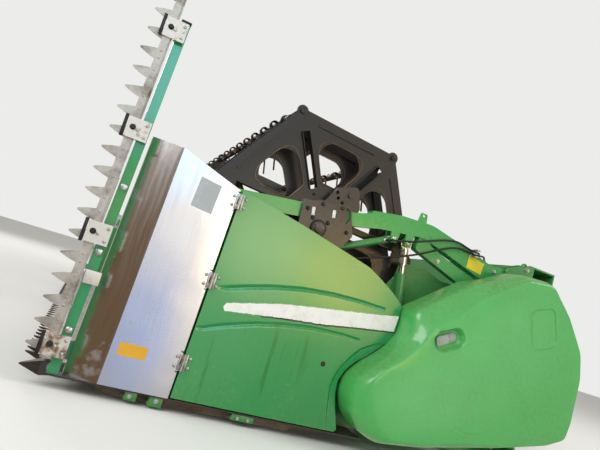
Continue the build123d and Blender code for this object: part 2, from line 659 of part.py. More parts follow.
COIL_R, WIRE = 20.0, 6.0
coil_y, coil_z = -26.0, -12.0
coil = Pos(coil_y, coil_z) * (RegularPolygon(COIL_R, 10) - RegularPolygon(COIL_R - WIRE - 1, 10))
leg_top = (coil_y + COIL_R - 3, coil_z)
leg = [(leg_top[0] - WIRE / 2, leg_top[1]), (TINE_BACK - WIRE / 2, -TINE_DROP)]
leg += [(TINE_BACK + WIRE / 2, -TINE_DROP), (leg_top[0] + WIRE / 2, leg_top[1])]
tine_face = coil + sharp(leg)
BAT_HALF = SPIDER_X[-1] + 30
TINES = int((2 * BAT_HALF - 120) / TINE_PITCH) + 1
one_bat = round_x(0, 0, BAT_R, -BAT_HALF, BAT_HALF + 30)
tines = []
for k in range(TINES):
    x = (k - (TINES - 1) / 2) * TINE_PITCH
    if min(abs(x - s) for s in SPIDER_X) < 25:
        x += 30
    tines.append(prism(tine_face, x - 4, x + 4))
one_bat = one_bat + tines
crank_angle = degrees(atan2(CRANK_Z, CRANK_Y))
crank_arm = Rot(0, 0, crank_angle) * Pos(hypot(CRANK_Y, CRANK_Z) / 2, 0) * SlotCenterToCenter(
    hypot(CRANK_Y, CRANK_Z), 30
)
one_bat += prism(crank_arm, BAT_HALF + 28, BAT_HALF + 36)
one_bat += round_x(CRANK_Y, CRANK_Z, PIN_R, BAT_HALF + 30, CAM_X + SPIDER_T + 8)
for k in range(BATS):
    y, z = bat_place(k)
    parts[f"reel_bat_{k + 1}"] = Pos(0, REEL_Y + y, REEL_Z + z) * one_bat

# Reel arms

slope = radians(ARM_SLOPE)
front_y = 60.0
line_z = 939 - (790 - front_y) * tan(slope)
arm_rows = [
    (front_y, line_z - ARM_FRONT_DEEP, 10),
    (770.0, 936 - ARM_FRONT_DEEP, 80),
    (935.0, 993 - ARM_DEEP, 80),
    (1150.0, 943.0, 150),
    (1281.0, 917.0, 200),
    (1545.0, 850.0, 40),
    (1640.0, 846.0, 30),
    (PIVOT_Y, PIVOT_Z - BOSS_R, 0),
    (PIVOT_Y, PIVOT_Z + BOSS_R, 0),
    (1560.0, 937.0, 60),
    (1410.0, 972.0, 100),
    (1189.0, 1014.0, 200),
    (1020.0, 1004.0, 150),
    (876.0, 978.0, 0),
    (868.0, 962.0, 0),
    (790.0, 939.0, 80),
    (front_y, line_z, 10),
]
arm = prism(section(arm_rows), ARM_X - ARM_W / 2, ARM_X + ARM_W / 2)
lower_rows = [
    (1130.0, 884.0, 12),
    (1434.0, 794.0, 100),
    (1545.0, 760.0, 20),
    (1590.0, 790.0, 20),
    (1656.0, 880.0, 0),
    (1560.0, 870.0, 0),
    (1500.0, 834.0, 30),
    (1206.0, 922.0, 20),
    (1200.0, 950.0, 0),
    (1140.0, 950.0, 0),
]
arm += prism(section(lower_rows), ARM_X - 20, ARM_X + 20)
tab = section([(1104.0, 1000.0, 0), (1112.0, 1052.0, 6), (1146.0, 1050.0, 6), (1152.0, 1000.0, 0)])
tab -= Pos(1129, 1040) * Circle(7)
arm += prism(tab, ARM_X + ARM_W / 2 - 6, ARM_X + ARM_W / 2)
arm += round_x(PIVOT_Y, PIVOT_Z, BOSS_R, ARM_X - ARM_W / 2, ARM_X + ARM_W / 2)
arm -= round_x(PIVOT_Y, PIVOT_Z, 20 + RUNNING_GAP, ARM_X - ARM_W, ARM_X + ARM_W)
LUG_X = (ARM_X - ARM_W / 2, ARM_X - 14, ARM_X + 14, ARM_X + ARM_W / 2)
for (y, z), top in ((LIFT_HEAD, 945.0), (SLIDE_FOOT, 930.0)):
    lug = section([(y - 24, top, 0), (y - 14, z - 16, 8), (y + 14, z - 16, 8), (y + 24, top, 0)])
    arm += prism(lug, LUG_X[0], LUG_X[1]) + prism(lug, LUG_X[2], LUG_X[3])
    arm += round_x(y, z, PIN, LUG_X[0], LUG_X[3])
parts["reel_arms"] = Part() + [arm, mirror(arm, about=Plane.YZ)]

bracket_rows = [
    (PIVOT_Y - 26, BEAM_Z, 15),
    (BEAM_Y, BEAM_Z, 0),
    (BEAM_Y, BEAM_Z + BEAM, 0),
    (BEAM_Y - 20, BEAM_Z + BEAM, 0),
    (PIVOT_Y - 26, PIVOT_Z + 40, 25),
]
EYE_RING = (PIVOT_Y + 76, PIVOT_Z + 78)
bracket = Part()
for x0, x1 in ((WALL_X - 6, WALL_X + 4), (ARM_X + ARM_W / 2 + 6, ARM_X + ARM_W / 2 + 16)):
    bracket += prism(section(bracket_rows), x0, x1)
bracket += round_x(*EYE_RING, 16, ARM_X + ARM_W / 2 + 6, ARM_X + ARM_W / 2 + 16)
bracket -= round_x(*EYE_RING, 8, ARM_X + ARM_W / 2 + 5, ARM_X + ARM_W / 2 + 17)
bracket += round_x(PIVOT_Y, PIVOT_Z, 20, WALL_X - 16, ARM_X + ARM_W / 2 + 24)
parts["arm_brackets"] = Part() + [bracket, mirror(bracket, about=Plane.YZ)]

# Carriages that slide on the arms and carry the reel

OUT_X = ARM_X + ARM_W / 2 + 6
carriage_rows = [
    (545.0, 905.0, 12),
    (560.0, 670.0, 25),
    (700.0, 670.0, 25),
    (803.0, 834.0, 20),
    (757.0, 958.0, 12),
]
carriage = prism(section(carriage_rows), OUT_X, OUT_X + 8)
inner_rows = [
    (560.0, 900.0, 12),
    (560.0, 795.0, 12),
    (640.0, 766.0, 20),
    (720.0, 775.0, 20),
    (800.0, 850.0, 20),
    (838.0, 971.0, 25),
    (806.0, 1066.0, 22),
    (708.0, 1030.0, 22),
    (664.0, 950.0, 20),
]
IN_X = ARM_X - ARM_W / 2 - 10
inner_plate = prism(section(inner_rows), IN_X - 8, IN_X)
roof = section(
    [
        (548.0, line_z + (548 - front_y) * tan(slope) + RUNNING_GAP, 0),
        (752.0, line_z + (752 - front_y) * tan(slope) + RUNNING_GAP, 0),
        (752.0, line_z + (752 - front_y) * tan(slope) + 14, 0),
        (548.0, line_z + (548 - front_y) * tan(slope) + 14, 0),
    ]
)
for y, z in ((712.0, 1008.0), (722.0, 986.0), (746.0, 972.0)):
    inner_plate -= round_x(y, z, 8, IN_X - 9, IN_X + 1)
inner_plate += round_x(775.0, 1014.0, 11, IN_X - 14, IN_X + 8)
carriage += inner_plate + prism(roof, IN_X - 8, OUT_X + 8)
base = section(
    [
        (562.0, line_z + (562 - front_y) * tan(slope) - ARM_FRONT_DEEP - RUNNING_GAP, 0),
        (770.0, line_z + (770 - front_y) * tan(slope) - ARM_FRONT_DEEP - RUNNING_GAP, 0),
        (770.0, line_z + (770 - front_y) * tan(slope) - ARM_FRONT_DEEP - 13, 0),
        (562.0, line_z + (562 - front_y) * tan(slope) - ARM_FRONT_DEEP - 13, 0),
    ]
)
carriage += prism(base, IN_X - 1, OUT_X + 1)
carriage += round_x(CAM_Y, CAM_Z, CAM_HUB_R, CAM_X - 2, IN_X - 7)
carriage += round_x(REEL_Y, REEL_Z, 30, OUT_X + 7, OUT_X + 12)
carriage -= round_x(REEL_Y, REEL_Z, SHAFT_R + RUNNING_GAP, CAM_X - 30, OUT_X + 60)
carriage += round_x(*SLIDE_HEAD, PIN, ARM_X - 14, OUT_X + 1)
slot_line = ThreePointArc((746, 936), (761, 913), (757, 884))
slot_face = make_face(SlotArc(slot_line, 13).edges())
carriage -= prism(slot_face, OUT_X - 1, OUT_X + 9)
for y, z in ((600.0, 881.0), (693.0, 899.0)):
    window = Rectangle(18, 37)
    carriage -= prism(Pos(y, z) * Rot(0, 0, ARM_SLOPE) * window, OUT_X - 1, OUT_X + 9)
parts["reel_carriages"] = Part() + [carriage, mirror(carriage, about=Plane.YZ)]

# Hydraulic cylinders

for name, foot_end, head_end, ram_r, rod_r, shown, sleeve_r in (
    ("lift_ram", LIFT_FOOT, LIFT_HEAD, RAM_R, ROD_R, 135.0, 19.0),
    ("slide_ram", SLIDE_FOOT, SLIDE_HEAD, SLIDE_RAM_R, SLIDE_ROD_R, 60.0, 12.0),
):
    length = hypot(head_end[0] - foot_end[0], head_end[1] - foot_end[1])
    eye = PIN + 10
    barrel_end = along(foot_end, head_end, length - shown)
    barrel = rod_between(along(foot_end, head_end, eye + 9), barrel_end, ARM_X, ram_r)
    barrel += rod_between(foot_end, along(foot_end, head_end, eye + 10), ARM_X, 9)
    barrel -= rod_between(along(foot_end, head_end, eye + 18), head_end, ARM_X, rod_r + RUNNING_GAP)
    barrel += round_x(*foot_end, eye, ARM_X - 12, ARM_X + 12)
    barrel -= round_x(*foot_end, PIN + RUNNING_GAP, ARM_X - 30, ARM_X + 30)
    rod = rod_between(along(foot_end, head_end, eye + 24), head_end, ARM_X, rod_r)
    sleeve_from = along(foot_end, head_end, length - shown * 0.7)
    rod += rod_between(sleeve_from, along(foot_end, head_end, length - eye - 8), ARM_X, sleeve_r)
    rod += round_x(*head_end, eye + EYE_PLAY, ARM_X - 12, ARM_X + 12)
    rod -= round_x(*head_end, PIN + EYE_PLAY + RUNNING_GAP, ARM_X - 30, ARM_X + 30)
    pair(name + "_barrel", barrel)
    pair(name + "_rod", rod)

# Drive shaft along the back, from the feeder house to the left end

NECK_FROM = DRIVE_FROM + STUB_LONG
drive_shaft = round_x(DRIVE_Y, DRIVE_Z, SPLINE_R, DRIVE_FROM, NECK_FROM)
drive_shaft += round_x(DRIVE_Y, DRIVE_Z, NECK_R, NECK_FROM, NECK_FROM + NECK_LONG)
drive_shaft += round_x(DRIVE_Y, DRIVE_Z, DRIVE_R, NECK_FROM + NECK_LONG, WALL_X + 70)
parts["drive_shaft"] = drive_shaft
bearings = Part()
for x in (NECK_FROM + 20, HALF - 750):
    plate = bar(x, x + 12, BEAM_Y + 30, FRAME_REAR, LOW_BEAM_Z + LOW_BEAM_H, DRIVE_Z + 50)
    plate += bar(x - 30, x + 42, BEAM_Y + 30, FRAME_REAR, LOW_BEAM_Z + LOW_BEAM_H, LOW_BEAM_Z + LOW_BEAM_H + 8)
    plate += round_x(DRIVE_Y, DRIVE_Z, 45, x - 12, x + 24)
    bearings += plate - round_x(DRIVE_Y, DRIVE_Z, DRIVE_R + RUNNING_GAP, x - 20, x + 40)
parts["shaft_bearings"] = bearings
case = section(
    [
        (AUGER_Y - 70, AUGER_Z - 70, 60),
        (DRIVE_Y + 50, DRIVE_Z - 60, 40),
        (DRIVE_Y + 50, DRIVE_Z + 60, 40),
        (AUGER_Y - 70, AUGER_Z + 70, 60),
    ]
)
drive_case = prism(case, WALL_X + 24, WALL_X + 64)
drive_case -= round_x(DRIVE_Y, DRIVE_Z, DRIVE_R + RUNNING_GAP, WALL_X, WALL_X + 80)
parts["drive_case"] = drive_case

# Place everything about the origin and write it

MIDDLE_Y = (FRONT_Y + REAR_Y) / 2
if __name__ == "__main__":
    for name, solid in parts.items():
        export_step(Pos(0, -MIDDLE_Y, 0) * solid, f"parts/{name}.step")
        box = solid.bounding_box()
        print(name, [round(v, 1) for v in (*box.min, *box.max)])
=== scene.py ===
"""Grain header of a combine harvester, as it looks: paint, bare metal, fastenings, hoses and wear."""

from math import copysign, cos, hypot, pi, radians, sin, tan

import bmesh
import bpy
from mathutils import Matrix, Vector


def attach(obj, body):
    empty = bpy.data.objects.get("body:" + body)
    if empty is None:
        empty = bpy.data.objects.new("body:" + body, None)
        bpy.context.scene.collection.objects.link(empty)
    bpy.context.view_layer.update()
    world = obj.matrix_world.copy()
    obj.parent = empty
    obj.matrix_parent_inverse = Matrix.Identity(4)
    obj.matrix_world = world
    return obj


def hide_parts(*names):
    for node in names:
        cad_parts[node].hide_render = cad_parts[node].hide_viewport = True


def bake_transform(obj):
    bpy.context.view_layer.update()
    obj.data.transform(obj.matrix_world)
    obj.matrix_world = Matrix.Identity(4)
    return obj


# The header as it was packed, and the camera where the photograph was taken from

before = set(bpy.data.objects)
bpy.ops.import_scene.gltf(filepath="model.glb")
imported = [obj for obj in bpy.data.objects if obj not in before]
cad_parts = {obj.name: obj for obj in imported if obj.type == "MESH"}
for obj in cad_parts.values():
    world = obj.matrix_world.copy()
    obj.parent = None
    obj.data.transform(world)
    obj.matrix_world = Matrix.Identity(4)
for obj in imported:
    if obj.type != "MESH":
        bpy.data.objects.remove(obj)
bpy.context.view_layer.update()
scene = bpy.context.scene
scene.view_settings.view_transform = "Standard"



def link_object(name, data):
    """New object in the scene that shows a mesh, curve, lamp or camera."""
    made = bpy.data.objects.new(name, data)
    scene.collection.objects.link(made)
    return made


CAMERA_PLACE = Vector((4.644, -1.0543, 0.5174))
CAMERA_RIGHT = Vector((0.37081, 0.88271, 0.28865))
CAMERA_UP = Vector((0.02041, -0.31848, 0.94772))
camera_data = bpy.data.cameras.new("camera")
camera_data.lens = 31.2
camera_data.sensor_width = 36.0
camera = link_object("camera", camera_data)
turn = Matrix((CAMERA_RIGHT, CAMERA_UP, CAMERA_RIGHT.cross(CAMERA_UP))).transposed()
camera.matrix_world = Matrix.Translation(CAMERA_PLACE) @ turn.to_4x4()
scene.camera = camera

# Studio: a pale floor under the header, an even pale sky and three large soft lamps. Nothing of it
# belongs to the header. The floor keeps the header's shadow and isn't mirrored in polished faces.


def linear(code, alpha=1.0):
    """Linear colour from an sRGB hex value such as '#1F7A33'."""
    values = [int(code[k : k + 2], 16) / 255 for k in (1, 3, 5)]
    return [v / 12.92 if v <= 0.04045 else ((v + 0.055) / 1.055) ** 2.4 for v in values] + [alpha]


def add(tree, kind, inputs=None, **settings):
    """Adds a node. Inputs maps a socket to a value, or to what it is linked to: an output, or a node
    for its first output."""
    node = tree.nodes.new("ShaderNode" + kind)
    for name, value in settings.items():
        setattr(node, name, value)
    for key, value in (inputs or {}).items():
        if isinstance(value, bpy.types.Node):
            value = value.outputs[0]
        if isinstance(value, bpy.types.NodeSocket):
            tree.links.new(value, node.inputs[key])
        else:
            node.inputs[key].default_value = value
    return node


def new_material(name):
    """Empty node material and its tree."""
    material = bpy.data.materials.new(name)
    material.use_nodes = True
    material.node_tree.nodes.clear()
    return material, material.node_tree


FLOOR_HALF = 40.0
FLOOR_COLOUR = "#E9E8E4"
SKY_COLOUR = "#ECECEA"
floor_mesh = bpy.data.meshes.new("floor")
floor_shape = bmesh.new()
bmesh.ops.create_grid(floor_shape, x_segments=1, y_segments=1, size=FLOOR_HALF)
floor_shape.to_mesh(floor_mesh)
floor_shape.free()
floor = link_object("floor", floor_mesh)
floor_paint, tree = new_material("pale_floor")
surface = add(tree, "BsdfPrincipled", {"Base Color": linear(FLOOR_COLOUR), "Roughness": 0.9})
add(tree, "OutputMaterial", {"Surface": surface})
floor_mesh.materials.append(floor_paint)
floor.visible_glossy = False

# Columns: colour, strength, azimuth from +X and height in degrees, and the angles where it is full and gone
REFLECTED = (
    ("#6E5437", 0.9, -52.0, -6.0, 30.0, 46.0),
    ("#8F8A78", 1.0, 20.0, -25.0, 10.0, 25.0),
    ("#F1E4DA", 1.1, 9.0, -2.0, 9.0, 15.0),
    ("#A9BFEE", 1.0, 2.0, -8.0, 3.0, 10.0),
    ("#B9B6B2", 1.0, 6.0, 15.0, 3.0, 9.0),
    ("#9CCBEE", 5.0, 1.0, 22.0, 7.0, 14.0),
    ("#F0DCB8", 6.0, 17.6, 5.0, 2.0, 8.0),
    ("#F2C878", 8.0, 26.7, 4.0, 2.0, 7.0),
    ("#DDE8D8", 2.5, 37.0, -6.0, 2.0, 9.0),
    ("#DDE8D8", 1.8, 44.0, 3.0, 1.0, 8.0),
)
world = bpy.data.worlds.new("studio")
scene.world = world
world.use_nodes = True
tree = world.node_tree
tree.nodes.clear()
path = add(tree, "LightPath")
sky = add(tree, "Background", {"Color": linear(SKY_COLOUR), "Strength": 0.62})
backdrop = add(tree, "Background", {"Color": linear(SKY_COLOUR), "Strength": 1.0})
# What polished faces mirror: warm walls round the header and, towards the camera, a bright window
toward = add(tree, "TexCoord").outputs["Generated"]
mirrored = add(tree, "RGB").outputs[0]
mirrored.default_value = linear("#B9AFA2")
for colour, strength, azimuth, height, near, far in REFLECTED:
    centre = (cos(radians(height)) * cos(radians(azimuth)), cos(radians(height)) * sin(radians(azimuth)))
    centre += (sin(radians(height)),)
    facing = add(tree, "VectorMath", {0: toward, 1: centre}, operation="DOT_PRODUCT")
    share = {0: facing.outputs["Value"], 1: cos(radians(far)), 2: cos(radians(near))}
    amount = add(tree, "MapRange", share, interpolation_type="SMOOTHSTEP")
    tones = {0: amount, 6: mirrored, 7: [value * strength for value in linear(colour)]}
    mirrored = add(tree, "Mix", tones, data_type="RGBA").outputs[2]
walls = add(tree, "Background", {"Color": mirrored, "Strength": 1.0})
around = add(tree, "MixShader", {0: path.outputs["Is Glossy Ray"], 1: sky, 2: walls})
seen = {0: path.outputs["Is Camera Ray"], 1: path.outputs["Is Transmission Ray"]}
shown = add(tree, "Math", seen, operation="ADD")
mixed = add(tree, "MixShader", {0: shown, 1: around, 2: backdrop})
add(tree, "OutputWorld", {"Surface": mixed})

for name, place, power, size in (
    ("lamp_front", (6.5, -5.5, 5.0), 330.0, 4.0),
    ("lamp_rear", (4.5, 6.0, 5.5), 230.0, 4.0),
    ("lamp_far", (-7.0, -3.0, 6.0), 260.0, 5.0),
):
    lamp_data = bpy.data.lights.new(name, "AREA")
    lamp_data.energy = power
    lamp_data.size = size
    lamp = link_object(name, lamp_data)
    lamp.location = place
    lamp.rotation_euler = (Vector((0, 0, 0.6)) - lamp.location).to_track_quat("-Z", "Y").to_euler()

# Sheet metal of the crop space: the table, trough, walls and rear frame are steel sheet and beams in
# green machine enamel, sprayed and baked, dull with barn dust that lies thickest on what faces up.


MIDDLE_Y = 882.0


def at(x, y, z):
    """Point in metres from millimetres, with y counted from the front corner of the side boxes."""
    return Vector((x, y - MIDDLE_Y, z)) / 1000


def new_piece(name, mesh_maker, material, body, smooth_angle=35):
    """Makes a piece from a bmesh that mesh_maker fills, and lets it ride on a body of the header."""
    shape = bmesh.new()
    mesh_maker(shape)
    bmesh.ops.recalc_face_normals(shape, faces=shape.faces)
    mesh = bpy.data.meshes.new(name)
    shape.to_mesh(mesh)
    shape.free()
    mesh.set_sharp_from_angle(angle=radians(smooth_angle))
    mesh.polygons.foreach_set("use_smooth", [True] * len(mesh.polygons))
    mesh.materials.append(material)
    piece = link_object(name, mesh)
    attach(piece, body)
    return piece


SIDES = (("left", 1), ("right", -1))


def both_ends(name, mesh_maker, material, body, smooth_angle=35):
    """Makes a piece for the left end and its mirror image for the right. Body may hold {} for the side."""
    pieces = []
    for side, sign in SIDES:

        def mirrored_maker(shape):
            mesh_maker(shape)
            bmesh.ops.scale(shape, verts=shape.verts, vec=(sign, 1, 1))

        pieces.append(
            new_piece(f"{name}_{side}", mirrored_maker, material, body.format(side), smooth_angle)
        )
    return pieces


def standing(place, axis):
    """Matrix that stands a shape made along Z on a place, pointing along axis."""
    return Matrix.Translation(place) @ Vector(axis).to_track_quat("Z", "Y").to_matrix().to_4x4()


# Rows of a fastener's outline: sides, low and high radius per width, low and high end per height
HEX = ((24, 0.62, 0.62, 0.0, 0.2), (6, 0.5, 0.5, 0.2, 0.85), (6, 0.5, 0.42, 0.85, 1.0))
DOME = ((20, 0.5, 0.5, 0.0, 0.3), (20, 0.5, 0.38, 0.3, 0.75), (20, 0.38, 0.12, 0.75, 1.0))
ROD = ((20, 0.5, 0.5, -0.5, 0.5),)


def fastener(shape, place, axis, wide, high, rows=HEX):
    """Bolt or rivet head, wide and high in millimetres, standing on place along axis."""
    stand = standing(place, axis)
    for sides, low_r, high_r, low, top in rows:
        bmesh.ops.create_cone(
            shape,
            cap_ends=True,
            segments=sides,
            radius1=low_r * wide / 1000,
            radius2=high_r * wide / 1000,
            depth=(top - low) * high / 1000,
            matrix=stand @ Matrix.Translation((0, 0, (low + top) / 2 * high / 1000)),
        )


def screws(shape, x, places, wide, high, rows=HEX, axis=(1, 0, 0)):
    """Fasteners of one size on a face that lies across X, at places of (y, z)."""
    for y, z in places:
        fastener(shape, at(x, y, z), axis, wide, high, rows)


def enamel(
    name,
    colour,
    dust_and_shade,
    roughness=0.3,
    dust_and_shade_share=0.35,
    grain_m=0.5,
    peel=0.15,
    chips=None,
    coat=0.3,
    streaks=0.0,
    marks=(),
):
    """Baked paint: a tone where it faces up, which is dust on most parts and painted shade on the end
    shields; orange peel and, if asked, chips, rain streaks and marks.

    Chips are a colour and a level, marks are arcs pressed faintly into the surface: y, z, radius.
    """
    material, tree = new_material(name)
    place = add(tree, "TexCoord").outputs["Object"]
    cloud = add(tree, "TexNoise", {"Vector": place, "Scale": 1 / grain_m, "Detail": 6.0, "Roughness": 0.6})
    fine = add(tree, "TexNoise", {"Vector": place, "Scale": 60.0, "Detail": 3.0})
    # Tone laid where the surface faces up: dust on most parts, painted shade on the end shields
    facing = add(tree, "SeparateXYZ", {0: add(tree, "NewGeometry").outputs["Normal"]})
    up = add(tree, "MapRange", {0: facing.outputs["Z"], 1: -0.2, 4: 0.55})
    cover = add(tree, "Math", {0: cloud, 1: up}, operation="ADD")
    cover = add(tree, "MapRange", {0: cover, 1: 0.35, 2: 1.25})
    speck = add(tree, "Math", {0: fine, 1: cover}, operation="MULTIPLY")
    amount = add(tree, "Math", {0: speck, 1: dust_and_shade_share * 2}, operation="MULTIPLY", use_clamp=True)
    tones = {0: amount, 6: linear(colour), 7: linear(dust_and_shade)}
    paint = add(tree, "Mix", tones, data_type="RGBA").outputs[2]
    rough = add(tree, "MapRange", {0: amount, 2: 0.6, 3: roughness, 4: 0.75})
    if streaks:
        laid = {"Vector": place, "Rotation": (radians(-18.5), 0, 0), "Scale": (40, 40, 1.6)}
        down = add(tree, "Mapping", laid)
        run = add(tree, "TexNoise", {"Vector": down, "Scale": 1.0, "Detail": 3.0, "Roughness": 0.7})
        run = add(tree, "MapRange", {0: run, 1: 0.57, 2: 0.64, 4: streaks})
        wash = add(tree, "TexNoise", {"Vector": place, "Scale": 3.5, "Detail": 2.0})
        wash = add(tree, "MapRange", {0: wash, 1: 0.42, 2: 0.55})
        height = add(tree, "SeparateXYZ", {0: place}).outputs["Z"]
        below = add(tree, "MapRange", {0: height, 1: 0.43, 2: 0.36})
        wash = add(tree, "Math", {0: wash, 1: below}, operation="MULTIPLY")
        run = add(tree, "Math", {0: run, 1: wash}, operation="MULTIPLY")
        dark = add(tree, "Gamma", {0: paint, 1: 1.5})
        paint = add(tree, "Mix", {0: run, 6: paint, 7: dark}, data_type="RGBA").outputs[2]
    if chips:
        flaw = add(tree, "TexNoise", {"Vector": place, "Scale": 14.0, "Detail": 8.0, "Roughness": 0.7})
        bare = add(tree, "MapRange", {0: flaw, 1: chips[1], 2: chips[1] + 0.02})
        paint = add(tree, "Mix", {0: bare, 6: paint, 7: linear(chips[0])}, data_type="RGBA").outputs[2]
    skin = add(tree, "TexNoise", {"Vector": place, "Scale": 320.0, "Detail": 1.0})
    wave = add(tree, "TexNoise", {"Vector": place, "Scale": 5.0, "Detail": 1.0})
    bump = add(tree, "Bump", {"Strength": 0.5, "Distance": 0.004, "Height": wave})
    bump = add(tree, "Bump", {"Strength": peel, "Distance": 0.0006, "Height": skin, "Normal": bump})
    for y, z, radius in marks:
        flat = add(tree, "VectorMath", {0: place, 1: (0, 1, 1)}, operation="MULTIPLY")
        away = add(tree, "VectorMath", {0: flat, 1: at(0, y, z)}, operation="DISTANCE")
        off = add(tree, "Math", {0: away.outputs["Value"], 1: radius / 1000}, operation="SUBTRACT")
        off = add(tree, "Math", {0: off}, operation="ABSOLUTE")
        line = add(tree, "MapRange", {0: off, 2: 0.006})
        bump = add(tree, "Bump", {"Strength": 0.4, "Distance": 0.0015, "Height": line, "Normal": bump})
    look = {"Base Color": paint, "Roughness": rough, "Normal": bump, "Coat Weight": coat}
    surface = add(tree, "BsdfPrincipled", {**look, "Coat Roughness": 0.12})
    add(tree, "OutputMaterial", {"Surface": surface})
    return material


def bare_metal(
    name,
    colour,
    stain,
    roughness=0.35,
    stained=0.5,
    grain_m=0.12,
    along=(1, 1, 1),
    metallic=0.9,
    dents=(),
    low=0.0,
):
    """Uncoated steel with a rolled or brushed grain, and stains that dull it, thicker below z of low.

    Dents are soft hollows: x, y, z and radius in millimetres.
    """
    material, tree = new_material(name)
    place = add(tree, "TexCoord").outputs["Object"]
    laid = add(tree, "Mapping", {"Vector": place, "Scale": along})
    grain = {"Vector": place, "Scale": 1 / grain_m, "Detail": 8.0, "Roughness": 0.65}
    patch = add(tree, "TexNoise", grain)
    if low:
        height = add(tree, "SeparateXYZ", {0: place}).outputs["Z"]
        more = add(tree, "MapRange", {0: height, 1: low + 0.03, 2: low, 4: 0.16})
        patch = add(tree, "Math", {0: patch, 1: more}, operation="ADD")
    spread = add(tree, "MapRange", {0: patch, 1: 0.62 - stained * 0.3, 2: 0.72})
    line = add(tree, "TexNoise", {"Vector": laid, "Scale": 90.0, "Detail": 4.0})
    tones = {0: spread, 6: linear(colour), 7: linear(stain)}
    colour_out = add(tree, "Mix", tones, data_type="RGBA").outputs[2]
    rough = add(tree, "MapRange", {0: line, 3: roughness * 0.7, 4: roughness * 1.5})
    metal = add(tree, "MapRange", {0: spread, 3: metallic, 4: metallic * 0.25})
    bump = add(tree, "Bump", {"Strength": 0.12, "Distance": 0.0005, "Height": line})
    for x, y, z, radius in dents:
        away = add(tree, "VectorMath", {0: place, 1: at(x, y, z)}, operation="DISTANCE").outputs["Value"]
        depth = add(tree, "MapRange", {0: away, 2: radius / 1000}, interpolation_type="SMOOTHERSTEP")
        deep = radius / 200000
        bump = add(tree, "Bump", {"Strength": 1.0, "Distance": deep, "Height": depth, "Normal": bump})
    look = {"Base Color": colour_out, "Roughness": rough, "Metallic": metal, "Normal": bump}
    surface = add(tree, "BsdfPrincipled", look)
    add(tree, "OutputMaterial", {"Surface": surface})
    return material


def moulded(name, colour, worn, roughness=0.45, grain=220.0, ragged=0.0):
    """Plastic, rubber or film with a fine skin, paler where it is rubbed."""
    material, tree = new_material(name)
    place = add(tree, "TexCoord").outputs["Object"]
    rub = add(tree, "TexNoise", {"Vector": place, "Scale": 22.0, "Detail": 5.0, "Roughness": 0.7})
    spread = {1: 0.5 - ragged * 0.1, 2: 0.75 - ragged * 0.15, 4: 0.6 + ragged * 0.4}
    rub = add(tree, "MapRange", {0: rub, **spread})
    tones = {0: rub, 6: linear(colour), 7: linear(worn)}
    paint = add(tree, "Mix", tones, data_type="RGBA").outputs[2]
    skin = add(tree, "TexNoise", {"Vector": place, "Scale": grain, "Detail": 2.0})
    bump = add(tree, "Bump", {"Strength": 0.15, "Distance": 0.0005, "Height": skin})
    surface = add(tree, "BsdfPrincipled", {"Base Color": paint, "Roughness": roughness, "Normal": bump})
    add(tree, "OutputMaterial", {"Surface": surface})
    return material


def dress(material, *names):
    """Gives CAD nodes, named without their side, a finish."""
    for name in names:
        for node in (name, name + "_left", name + "_right"):
            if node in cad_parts:
                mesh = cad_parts[node].data
                mesh.materials.clear()
                mesh.materials.append(material)


HALF = 2750.0
WALL = 2600.0
GREEN = "#1E8A3E"
DUST = "#A99C7C"
green_enamel = enamel("green_enamel", GREEN, DUST, chips=("#3C4A35", 0.68))
dress(green_enamel, "auger_trough", "back_wall", "top_beam", "low_beam", "back_posts", "arm_brackets")
dress(green_enamel, "end_wall", "drive_case")
table_steel = bare_metal("table_steel", "#9A9891", "#6B4A33", roughness=0.35, stained=0.5)
dress(table_steel, "extension_table")
black_coat = enamel("black_coat", "#17181A", "#6E5F4A", roughness=0.35, dust_and_shade_share=0.4, chips=("#4A3424", 0.62))
dress(black_coat, "feeder_adapter", "floor_frame", "side_sills", "shaft_bearings", "knife_guards")
wear_steel = bare_metal("wear_steel", "#6B655E", "#54361F", roughness=0.45, stained=0.8)
dress(wear_steel, "runners", "drive_shaft", "reel_shafts")
zinc_screw = bare_metal("zinc_screw", "#C3C3BF", "#6B5340", roughness=0.3, stained=0.3, metallic=0.85)
dark_screw = bare_metal("dark_screw", "#2C2A28", "#5A4331", roughness=0.4, stained=0.5, metallic=0.6)
rubber = moulded("rubber", "#141414", "#3A352F", roughness=0.55)


def frame_screws(shape):
    for x in (300, 900, 1500, 2100):
        fastener(shape, at(x, 1803, 400), (0, -1, 0), 16, 6, DOME)
        fastener(shape, at(x, 1803, 820), (0, -1, 0), 16, 6, DOME)
    for z in (240, 380, 520, 660, 780):
        fastener(shape, at(660, 1952, z), (0, 1, 0), 24, 12)
    for x in (250, 450):
        fastener(shape, at(x, 1952, 750), (0, 1, 0), 24, 12)
    low = [(y, 90) for y in range(100, 1000, 200)]
    high = [(1100, 720), (1300, 720), (1500, 720), (1500, 760), (1600, 760), (1700, 760)]
    screws(shape, WALL, low + high, 16, 6, DOME, (-1, 0, 0))


both_ends("frame_screws", frame_screws, zinc_screw, "header")


def case_screws(shape):
    low = [(1425, 345), (1560, 350), (1700, 358), (1850, 368)]
    high = [(1925, 420), (1850, 470), (1700, 462), (1425, 430), (1560, 450)]
    screws(shape, WALL + 64, low + high, 15, 7)
    for x, y in ((950, 1862), (2024, 1922)):
        screws(shape, x, ((y, 385), (y, 455)), 14, 7)


new_piece("case_screws", case_screws, zinc_screw, "header")

# Extension table: its steel sheet is held by domed rivets, close together along the front edge over the
# main knife and further apart at the back


def table_rivets(shape):
    for y, step in ((-132, 125), (1000, 250)):
        for x in range(-2500, 2501, step):
            fastener(shape, at(x, y, 62), (0, 0, 1), 14, 3, DOME)


new_piece("table_rivets", table_rivets, zinc_screw, "header")

# Side boxes: brushed stainless sheet, folded and left unpainted, with a few dents. The two labels
# are bare film.


